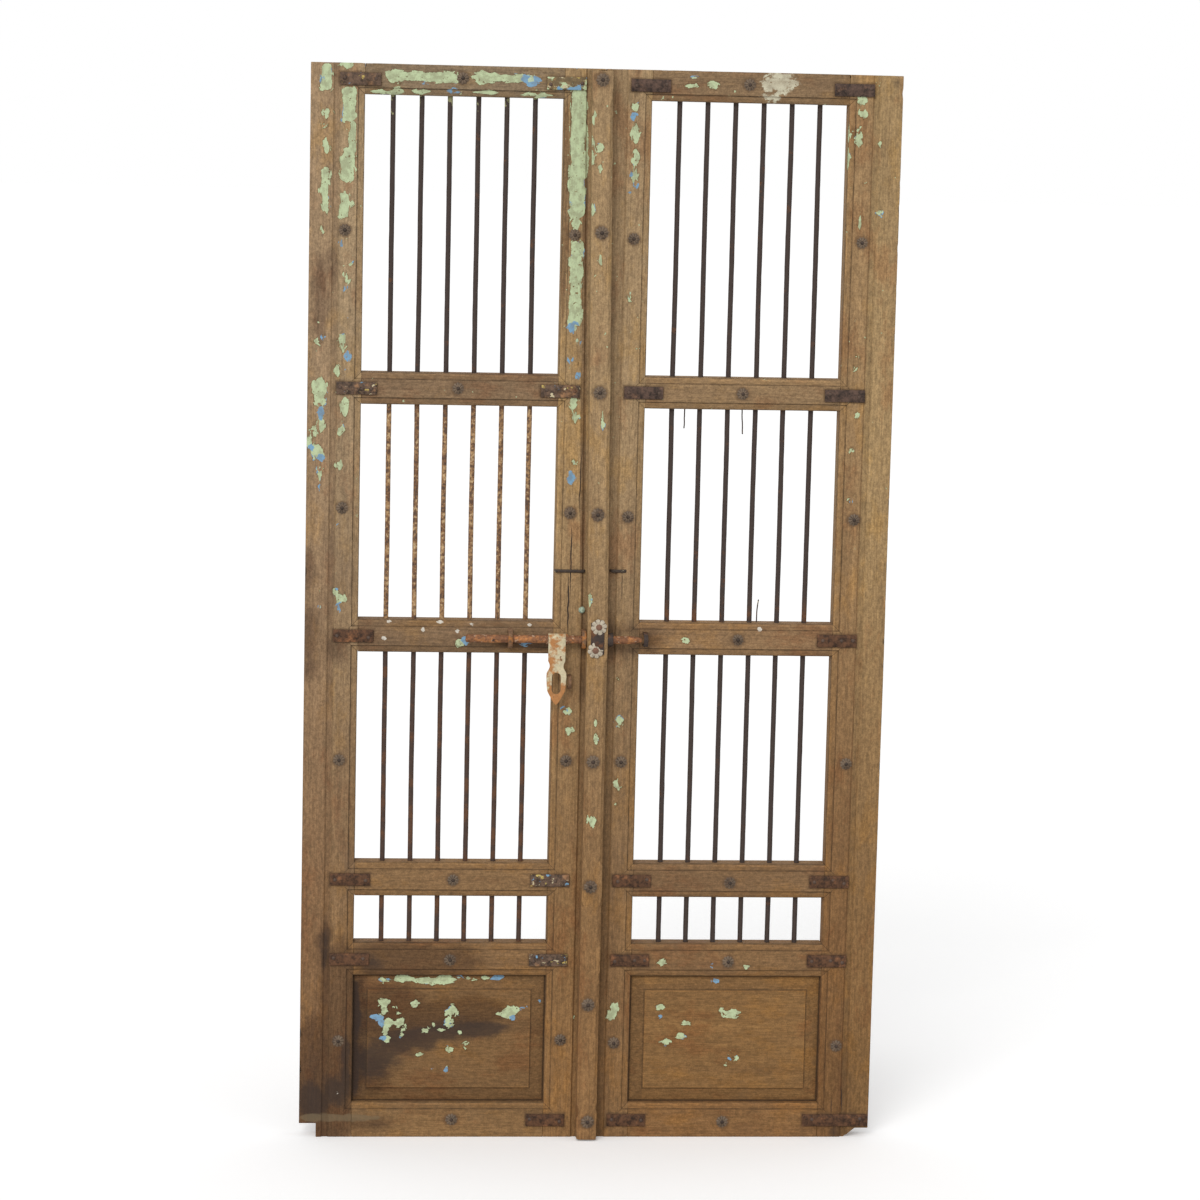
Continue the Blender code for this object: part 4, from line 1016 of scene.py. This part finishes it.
def store_fields(mesh, node):
    """Stores on a piece's mesh how far each place is from its paint, stains and studs."""
    places = np.empty(3 * len(mesh.vertices))
    mesh.vertices.foreach_get("co", places)
    x, _, z = places.reshape(-1, 3).T
    if node == "astragal":
        x = x - strip_lean(z)
    washer = (STRIP_STUD_SIZE if node == "astragal" else STUD_SIZE) / MM
    studs = {node: [(stud_x / MM, stud_z / MM, washer, washer) for stud_x, stud_z in STUDS.get(node, ())]}
    tables = {"green": GREEN_PATCHES, "blue": BLUE_PATCHES, "cream": CREAM_PATCHES, "white": WHITE_PATCHES,
              "soot": SOOT_PATCHES, "smoke": SMOKE_AND_SHADOW_PATCHES, "ghost": GHOST_PATCHES, "studs": studs}
    for name, table in tables.items():
        if table.get(node):
            power = FLAKE_POWER if name in FLAKE_SIZES else OVAL_POWER
            size = FLAKE_SIZES.get(name, 1.0)
            if name in FLAKE_SIZES and node.startswith("right"):
                size *= RIGHT_FLAKES
            reach = patch_field(x, z, table[node], power, size)
            if name == "green":
                reach = np.minimum(reach, band_field(x, z, GREEN_BANDS.get(node, ())))
            mesh.attributes.new(name, "FLOAT", "POINT").data.foreach_set("value", reach)


CHIP_DEPTH = 0.0060
CHIP_START = 0.20
CHIP_BAND = 0.004
CHIP_SCALE = 42.0
CHIP_ANGLE = math.radians(20)


def chip_edges(bm, node):
    """Wears the outer arrises of the doors and those of the strip, here and there."""
    bm.normal_update()
    is_strip = node == "astragal"
    face = STRIP_FACE if is_strip else FACE
    chips = []
    for vert in bm.verts:
        outer = max(abs(vert.co.x) - cad_high.x, vert.co.z - cad_high.z) > -CHIP_BAND or is_strip
        if outer and vert.co.y < face + CHIP_BAND:
            if any(edge.is_convex and edge.calc_face_angle(0.0) > CHIP_ANGLE for edge in vert.link_edges):
                depth = max(0.0, noise.noise(vert.co * CHIP_SCALE) - CHIP_START) * CHIP_DEPTH
                chips.append((vert, vert.normal * depth))
    for vert, chip in chips:
        vert.co -= chip


# Rounding of the wood's edges: width, least length in metres and least angle in degrees
WOOD_WEAR = (0.0010, 0.02, 60)
WOOD_UNEVEN = 0.0005
WOOD_UNEVEN_SCALE = 4.0

for node in WOOD_NODES:
    bm = wear(node_copy(node), *WOOD_WEAR)
    slice_front(bm, 0)
    slice_front(bm, 2)
    chip_edges(bm, node)
    for vert in bm.verts:
        vert.co += noise.noise_vector(vert.co * WOOD_UNEVEN_SCALE) * WOOD_UNEVEN
    piece = dress(node, "_aged", bm, aged_wood(node))
    store_fields(piece.data, node)


# Bars, drawn by hand and a little uneven
BAR_SEGMENTS = 14
BAR_CUTS = 90
BAR_WANDER = 0.0008
BAR_WANDER_SCALE = (40, 4)
BAR_UNEVEN = 0.0003
BAR_UNEVEN_SCALE = (200, 60)


def forged_bar(node):
    """Makes one round bar that wanders a little from straight."""
    low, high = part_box(node)
    middle = (low + high) / 2
    radius = (high.x - low.x) / 2
    bm = bmesh.new()
    bmesh.ops.create_cone(bm, cap_ends=True, segments=BAR_SEGMENTS, radius1=radius, radius2=radius,
                          depth=high.z - low.z, matrix=Matrix.Translation(middle))
    upright = [edge for edge in bm.edges if abs(edge.verts[0].co.z - edge.verts[1].co.z) > radius]
    bmesh.ops.subdivide_edges(bm, edges=upright, cuts=BAR_CUTS, use_grid_fill=True)
    apart, along = BAR_WANDER_SCALE
    round_about, lengthwise = BAR_UNEVEN_SCALE
    for vert in bm.verts:
        x, y, z = vert.co
        lean = noise.noise_vector(Vector((middle.x * apart, 0.0, z * along)))
        dent = noise.noise(Vector((x * round_about, y * round_about, z * lengthwise)))
        out = (vert.co - middle) * Vector((1, 1, 0))
        vert.co += Vector((lean.x, lean.y, 0.0)) * BAR_WANDER + out.normalized() * dent * BAR_UNEVEN
    return bm


for node in BARS:
    material = LEFT_BAR_IRON if node.startswith("left") else RIGHT_BAR_IRON
    dress(node, "_forged", forged_bar(node), material, BAR_SHARP)


# Straps and their nails
STRAP_ROUNDING = 0.0008
STRAP_CUTS = 14
STRAP_UNEVEN = 0.0004
STRAP_UNEVEN_SCALE = 90.0
NAIL_RADIUS = 0.0036
NAIL_RISE = 0.0020
DOME_SEGMENTS = 12
DOME_RINGS = 8
FLECKED = ("left_strap_top_rail_outer", "left_strap_cross_rail_inner", "left_strap_cross_rail_outer",
           "left_strap_lower_rail_inner", "left_strap_panel_rail_inner")
PAINTED = ("left_strap_top_rail_inner",)

# Places of the nails along a strap, how many straps have two of them, and how far a nail is off its place
TWO_NAILS = (0.12, 0.88)
THREE_NAILS = (0.12, 0.62, 0.88)
TWO_NAILS_SHARE = 0.6
NAIL_SHIFT = 0.03
NAIL_DROP = 0.003


def forged_strap(node):
    """Makes one hammered strap with uneven edges."""
    low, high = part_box(node)
    bm = rounded_block(low, high, STRAP_ROUNDING)
    half = (high.x - low.x) / 2
    lengthwise = [edge for edge in bm.edges if abs(edge.verts[0].co.x - edge.verts[1].co.x) > half]
    bmesh.ops.subdivide_edges(bm, edges=lengthwise, cuts=STRAP_CUTS, use_grid_fill=True)
    for vert in bm.verts:
        shake = noise.noise_vector(vert.co * STRAP_UNEVEN_SCALE)
        vert.co += Vector((shake.x, 0.0, shake.z)) * STRAP_UNEVEN
    return bm


def strap_iron(node):
    """Chooses the iron of a strap: rusted on the lower half, and painted or flecked in some places."""
    if node in PAINTED:
        return PAINTED_STRAP
    if node in FLECKED:
        return FLECKED_STRAP
    return RUSTY_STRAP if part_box(node)[1].z < LOCK_TOP else STRAP_IRON


def add_dome(bm, centre, radius, rise):
    """Adds a nail's round head, facing the front."""
    shape = Matrix.Translation(centre) @ Matrix.Diagonal((radius, rise, radius, 1.0))
    bmesh.ops.create_uvsphere(bm, u_segments=DOME_SEGMENTS, v_segments=DOME_RINGS, radius=1.0,
                              matrix=shape @ TURN_TO_FACE)


for side in SIDES:
    nails = bmesh.new()
    for node in STRAPS:
        if not node.startswith(side):
            continue
        dress(node, "_forged", forged_strap(node), strap_iron(node), STRAP_SHARP)
        low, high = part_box(node)
        chance = random.Random(node)
        shares = TWO_NAILS if chance.random() < TWO_NAILS_SHARE else THREE_NAILS
        for share in shares:
            x = low.x + (high.x - low.x) * (share + chance.uniform(-NAIL_SHIFT, NAIL_SHIFT))
            z = (low.z + high.z) / 2 + chance.uniform(-NAIL_DROP, NAIL_DROP)
            add_dome(nails, (x, low.y, z), NAIL_RADIUS, NAIL_RISE)
    add_piece(f"{side}_strap_nails", nails, f"{side}_leaf", NAIL_IRON, ROUND_SHARP)


# Rosettes: studs, and the flower washers on the cover plate
STUD = {"petals": 10, "rise": 0.0022, "lobe": 0.16, "nail_share": 0.32}
FLOWER = {"petals": 8, "rise": 0.0026, "lobe": 0.13, "nail_share": 0.42}
PETAL_STEPS = 6
ROSETTE_RINGS = 3
ROSETTE_TOP = 0.25
ROSETTE_SWELL = 0.5
VALLEY_SWELL = 0.25
NAIL_HEIGHT = 0.9
NAIL_SWELL = 1.3
BROKEN_SHARE = 0.55


def rosette_mesh():
    """Starts a mesh that marks the nails and the valleys between petals."""
    bm = bmesh.new()
    bm.verts.layers.float.new("nail")
    bm.verts.layers.float.new("valley")
    return bm


def add_rosette(bm, centre, radius, turn, petals, rise, lobe, nail_share, broken=(0.0, 0.0)):
    """Adds a domed washer with petals and a nail through its middle, broken between two angles."""
    nail = bm.verts.layers.float["nail"]
    valley = bm.verts.layers.float["valley"]
    made = bmesh.ops.create_cone(bm, cap_ends=True, segments=petals * PETAL_STEPS, radius1=radius,
                                 radius2=radius * ROSETTE_TOP, depth=rise)["verts"]
    slopes = [edge for edge in {edge for vert in made for edge in vert.link_edges}
              if abs(edge.verts[0].co.z - edge.verts[1].co.z) > rise / 2]
    bmesh.ops.subdivide_edges(bm, edges=slopes, cuts=ROSETTE_RINGS, use_grid_fill=True)
    made = [vert for vert in bm.verts if not vert.tag]
    for vert in made:
        angle = math.atan2(vert.co.y, vert.co.x)
        share = math.hypot(vert.co.x, vert.co.y) / radius
        petal = abs(math.cos(petals * angle / 2))
        shrink = 1.0 - lobe * (1.0 - petal) * share
        if broken[0] < angle < broken[1]:
            shrink *= min(1.0, BROKEN_SHARE / max(share, WELD))
        vert[valley] = (1.0 - petal) * share
        vert.co.x *= shrink
        vert.co.y *= shrink
        if vert.co.z > -rise / 2 + WELD:
            swell = VALLEY_SWELL + (1.0 - VALLEY_SWELL) * petal
            vert.co.z += rise * ROSETTE_SWELL * math.sin(math.pi * share) * swell
        vert.tag = True
    facing = TURN_TO_FACE @ Matrix.Rotation(turn, 4, "Z")
    place = Matrix.Translation(Vector(centre) - Vector((0.0, rise / 2, 0.0))) @ facing
    bmesh.ops.transform(bm, matrix=place, verts=made)
    before = set(bm.verts)
    head = Vector(centre) - Vector((0.0, rise * NAIL_HEIGHT, 0.0))
    add_dome(bm, head, radius * nail_share, rise * NAIL_SWELL)
    for vert in bm.verts:
        if vert not in before:
            vert.tag = True
            vert[nail] = 1.0


for node, places in STUDS.items():
    bm = rosette_mesh()
    chance = random.Random(node)
    face, radius = (STRIP_FACE, STRIP_STUD_SIZE) if node == "astragal" else (FACE, STUD_SIZE)
    for x, z in places:
        lean = strip_lean(z) if node == "astragal" else 0.0
        add_rosette(bm, (x + lean, face, z), radius, chance.uniform(0.0, 1.0), **STUD)
    bmesh.ops.recalc_face_normals(bm, faces=bm.faces)
    add_piece(node + "_studs", bm, NODES[node]["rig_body"], STUD_IRON, ROSETTE_SHARP)


# Cover plate, and its flower washers: x and z from its middle, and the angles of broken petals
PLATE_WIDTH = 0.025
PLATE_THICK = 0.0025
PLATE_HEIGHT = 0.060
PLATE_RAISE = 0.004
PLATE_ROUNDING = 0.0007
FLOWER_RADIUS = 0.0150
FLOWER_TURN = 0.2
FLOWERS = ((0.0020, 0.022, (0.0, 0.0)), (-0.0035, -0.022, (-0.1, 1.5)))

plate_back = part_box("bolt_cover")[1].y
plate_face = plate_back - PLATE_THICK
plate_middle = middle_of("bolt_cover").z + PLATE_RAISE
plate_low = Vector((-PLATE_WIDTH / 2, plate_face, plate_middle - PLATE_HEIGHT / 2))
plate_high = Vector((PLATE_WIDTH / 2, plate_back, plate_middle + PLATE_HEIGHT / 2))
bm = rounded_block(plate_low, plate_high, PLATE_ROUNDING)
dress("bolt_cover", "_plate", bm, PLATE_IRON, STRAP_SHARP)
bm = rosette_mesh()
for x, z, broken in FLOWERS:
    add_rosette(bm, (x, plate_face, plate_middle + z), FLOWER_RADIUS, FLOWER_TURN, **FLOWER, broken=broken)
bmesh.ops.recalc_face_normals(bm, faces=bm.faces)
add_piece("flower_washers", bm, "left_leaf", FLOWER_PAINT, ROSETTE_SHARP)


# Bolt, hasp, staples and ferrule
IRONWORK = {
    "bolt_rod": (BOLT_IRON, "rusted_iron"),
    "hasp": (HASP_PAINT, "painted_iron"),
    "outer_guide_staple": (STAPLE_IRON, "rusted_iron"),
    "inner_guide_staple": (STAPLE_IRON, "rusted_iron"),
    "keeper_staple": (PLATE_IRON, "rusted_iron"),
    "lock_staple": (STAPLE_IRON, "rusted_iron"),
    "bolt_ferrule": (PLATE_IRON, "dark_iron"),
}
IRON_WEAR = (0.0005, 0.0015, 50)
ROD = middle_of("bolt_rod")

# The hasp's outline below its eye, as distances below the rod's axis and half widths
HASP_OUTLINE = ((0.0235, 0.0160), (0.0400, 0.0160), (0.0450, 0.0136), (0.0490, 0.0124), (0.0530, 0.0134),
                (0.0620, 0.0182), (0.0700, 0.0188), (0.0960, 0.0172), (0.1190, 0.0045), (0.1230, 0.0))
HASP_SLOT = (0.0605, 0.1035, 0.0088)
SIDE_FACE = 0.5

# Guide staples, taller than their eyes need
TALL_STAPLES = ("outer_guide_staple", "inner_guide_staple")
STAPLE_CORE = 0.00975
STAPLE_STRETCH = 1.5


def shape_hasp(bm):
    """Gives the hasp's plate a sharp waist and a straight-sided belly."""
    drops, halves = zip(*HASP_OUTLINE)
    for drop in drops[1:-1]:
        bmesh.ops.bisect_plane(bm, geom=bm.verts[:] + bm.edges[:] + bm.faces[:], dist=WELD,
                               plane_co=(0.0, 0.0, ROD.z - drop), plane_no=(0.0, 0.0, 1.0))
    bm.normal_update()
    middle = middle_of("hasp").x
    slot_top, slot_end, slot_half = HASP_SLOT
    for vert in bm.verts:
        drop = ROD.z - vert.co.z
        out = vert.co.x - middle
        in_slot = slot_top < drop < slot_end and abs(out) < slot_half
        on_side = any(abs(face.normal.y) < SIDE_FACE for face in vert.link_faces)
        if drop > drops[0] and on_side and not in_slot:
            vert.co.x = middle + math.copysign(np.interp(drop, drops, halves), out)


def stretch_staple(bm):
    """Draws the outside of a guide staple up and down."""
    for vert in bm.verts:
        rise = vert.co.z - ROD.z
        if math.hypot(min(0.0, vert.co.y - ROD.y), rise) > STAPLE_CORE:
            vert.co.z = ROD.z + rise * STAPLE_STRETCH


for node, (material, slot) in IRONWORK.items():
    bm = node_copy(node)
    if node == "hasp":
        shape_hasp(bm)
    if node in TALL_STAPLES:
        stretch_staple(bm)
    wear(bm, *IRON_WEAR)
    dress(node, "_worn", bm, material, IRON_SHARP)


# Wires and nail points
WIRE_SEGMENTS = 8
WIRE_TURN_STEPS = 4


class Wire:
    """Draws a wire on from the face at its end: pulled, turned and tapered."""

    def __init__(self, bm, radius, place):
        self.bm = bm
        ring = bmesh.ops.create_circle(bm, cap_ends=True, segments=WIRE_SEGMENTS, radius=radius,
                                       matrix=place)["verts"]
        self.face = ring[0].link_faces[0]

    def grow(self):
        """Adds a length of nothing, to be moved."""
        self.face = bmesh.ops.extrude_discrete_faces(self.bm, faces=[self.face])["faces"][0]

    def pull(self, vector, taper=1.0):
        """Draws the wire on in a straight line, to a thinner end."""
        self.grow()
        bmesh.ops.translate(self.bm, verts=self.face.verts, vec=vector)
        centre = Matrix.Translation(-self.face.calc_center_median())
        bmesh.ops.scale(self.bm, verts=self.face.verts, vec=(taper, taper, taper), space=centre)

    def turn(self, centre, axis):
        """Bends the wire through a right angle."""
        step = Matrix.Rotation(math.radians(90 / WIRE_TURN_STEPS), 3, axis)
        for _ in range(WIRE_TURN_STEPS):
            self.grow()
            bmesh.ops.rotate(self.bm, verts=self.face.verts, cent=centre, matrix=step)


def close_wires(bm):
    """Caps the ends that are in the wood and turns all faces outwards."""
    bmesh.ops.holes_fill(bm, edges=[edge for edge in bm.edges if edge.is_boundary])
    bmesh.ops.recalc_face_normals(bm, faces=bm.faces)
    return bm


# Wire cramps across old splits, from x to x at a height, and a round nail head
CRAMPS = {"left": (-0.0800, -0.0250, 1.091), "right": (0.0240, 0.0530, 1.092)}
CRAMP_WIRE = 0.0016
CRAMP_WIDEN = 1.9
CRAMP_BEND = 0.004
CRAMP_DEPTH = 0.006
ROUND_HEAD = (-0.0285, FACE + 0.0005, 1.0176)
ROUND_HEAD_RADIUS = 0.0065
ROUND_HEAD_RISE = 0.0045


def wire_cramp(x0, x1, z):
    """Bends a wire over the face, with both its ends driven in."""
    flat = Matrix.Diagonal((1.0, 1.0, CRAMP_WIDEN, 1.0))
    start = Matrix.Translation((x0, FACE + CRAMP_DEPTH, z))
    wire = Wire(bmesh.new(), CRAMP_WIRE, start @ flat @ TURN_TO_FACE)
    bend = FACE - CRAMP_WIRE + CRAMP_BEND
    wire.pull((0.0, bend - FACE - CRAMP_DEPTH, 0.0))
    wire.turn((x0 + CRAMP_BEND, bend, z), "Z")
    wire.pull((x1 - x0 - 2 * CRAMP_BEND, 0.0, 0.0))
    wire.turn((x1 - CRAMP_BEND, bend, z), "Z")
    wire.pull((0.0, FACE + CRAMP_DEPTH - bend, 0.0))
    return close_wires(wire.bm)


for side, place in CRAMPS.items():
    bm = wire_cramp(*place)
    add_piece(f"{side}_wire_cramp", bm, f"{side}_leaf", CRAMP_IRON, ROUND_SHARP)
bm = bmesh.new()
add_dome(bm, ROUND_HEAD, ROUND_HEAD_RADIUS, ROUND_HEAD_RISE)
add_piece("round_nail_head", bm, "left_leaf", NAIL_PAINT, ROUND_SHARP)


# Ends of wire left in the rails of the right leaf: x, where each starts in the wood, and its tip
WIRES = {"hanging_wire_near": (0.157, 1.401, 1.360), "hanging_wire_far": (0.2645, 1.401, 1.351),
         "standing_wire": (0.304, 0.989, 1.038)}
WIRE_RADIUS = 0.0012
WIRE_STEPS = 7
WIRE_BEND = 0.0012
WIRE_BEND_SCALE = (90, 0.6, 30)
WIRE_TAPER = 0.5


def bent_wire(x, start, tip):
    """Draws a thin wire out of the wood, a little bent, to a rounded tip."""
    wire = Wire(bmesh.new(), WIRE_RADIUS, Matrix.Translation((x, (FACE + BACK) / 2, start)))
    across, along, upright = WIRE_BEND_SCALE
    for index in range(WIRE_STEPS):
        bend = noise.noise_vector(Vector((x * across, index * along, start * upright))) * WIRE_BEND
        wire.pull((bend.x, bend.y, (tip - start) / WIRE_STEPS))
    wire.pull((0.0, 0.0, math.copysign(WIRE_RADIUS / 2, tip - start)), WIRE_TAPER)
    return close_wires(wire.bm)


for name, place in WIRES.items():
    add_piece(name, bent_wire(*place), "right_leaf", CRAMP_IRON, ROUND_SHARP)


# Points of the studs' nails, bent over on the back: shares of their length, and how each thins
POINT_RADIUS = 0.0015
POINT_DEPTH = 0.003
POINT_BEND = 0.0022
POINT_LENGTH = 0.008
POINT_TAPERS = ((0.7, 0.8), (0.3, 0.35))


def clench_nail(bm, x, z, angle):
    """Brings a nail's point out of the back and bends it flat on the wood."""
    before = set(bm.verts)
    wire = Wire(bm, POINT_RADIUS, Matrix.Translation((x, BACK - POINT_DEPTH, z)) @ TURN_TO_BACK)
    wire.pull((0.0, POINT_DEPTH - POINT_RADIUS, 0.0))
    wire.turn((x, BACK - POINT_RADIUS, z + POINT_BEND), "X")
    for share, taper in POINT_TAPERS:
        wire.pull((0.0, -POINT_RADIUS / 3, POINT_LENGTH * share), taper)
    bmesh.ops.rotate(bm, verts=[vert for vert in bm.verts if vert not in before], cent=(x, BACK, z),
                     matrix=Matrix.Rotation(angle, 3, "Y"))


for side in SIDES:
    bm = bmesh.new()
    chance = random.Random(side + "points")
    for node in WOOD_NODES:
        if node.startswith(side):
            for x, z in NAIL_POINTS.get(node, ()):
                clench_nail(bm, x, z, chance.uniform(0.0, 2 * math.pi))
    add_piece(f"{side}_nail_points", close_wires(bm), f"{side}_leaf", NAIL_IRON, ROUND_SHARP)


# Camera
def look(place, aim, roll=0.0):
    """Returns the matrix of a camera or lamp, turned about its own axis by `roll` degrees."""
    forward = (Vector(aim) - Vector(place)).normalized()
    turned = forward.to_track_quat("-Z", "Y").to_matrix().to_4x4()
    return Matrix.Translation(place) @ turned @ Matrix.Rotation(math.radians(roll), 4, "Z")


camera_data = bpy.data.cameras.new("camera")
camera_data.lens = CAMERA_LENS
camera_data.sensor_width = CAMERA_SENSOR
camera = put("camera", camera_data)
camera.matrix_world = look(CAMERA_PLACE, CAMERA_AIM, CAMERA_ROLL)
bpy.context.scene.camera = camera

# Floor, world and lamp
WHITE = (1.0, 1.0, 1.0)
PAPER = (0.72, 0.72, 0.72)
PAPER_GLOW = 0.16
FLOOR_SIZE = 60.0
WORLD_LIGHT = 0.66
KEY_LIGHT = 1.33
KEY_FROM = (-1.8, -4.4, 4.3)
KEY_AIM = (0.0, 0.0, 1.0)
KEY_SPREAD = 30


def floor_paper():
    """Makes pale paper that the camera sees as white where no shadow lies."""
    material = bpy.data.materials.new("floor_paper")
    material.use_nodes = True
    paper = Nodes(material.node_tree)
    seen = paper.add("ShaderNodeLightPath").outputs["Is Camera Ray"]
    looks = {"Base Color": paper.mix(seen, PAPER, WHITE), "Roughness": 1.0, "Specular IOR Level": 0.0,
             "Emission Color": WHITE, "Emission Strength": paper.math("MULTIPLY", seen, PAPER_GLOW)}
    for name, value in looks.items():
        paper.feed(paper.nodes["Principled BSDF"].inputs[name], value)
    return material


bm = bmesh.new()
bmesh.ops.create_grid(bm, x_segments=1, y_segments=1, size=FLOOR_SIZE)
floor = put("floor", to_mesh("floor", bm))
floor.data.materials.append(floor_paper())
floor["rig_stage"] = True

world = bpy.data.worlds.new("studio")
bpy.context.scene.world = world
world.use_nodes = True
sky = Nodes(world.node_tree)
rays = sky.add("ShaderNodeLightPath").outputs
mirrored = sky.math("MAXIMUM", rays["Is Glossy Ray"], rays["Is Transmission Ray"])
seen = sky.math("MAXIMUM", rays["Is Camera Ray"], mirrored)
level = sky.add("ShaderNodeMapRange", {"Value": seen, "To Min": WORLD_LIGHT, "To Max": 1.0})
background = sky.nodes["Background"]
sky.feed(background.inputs["Color"], WHITE)
sky.feed(background.inputs["Strength"], level.outputs["Result"])

key_data = bpy.data.lights.new("key", "SUN")
key_data.energy = KEY_LIGHT
key_data.angle = math.radians(KEY_SPREAD)
key = put("key", key_data)
key.matrix_world = look(KEY_FROM, KEY_AIM)

bpy.context.scene.view_settings.view_transform = "Standard"

low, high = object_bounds()
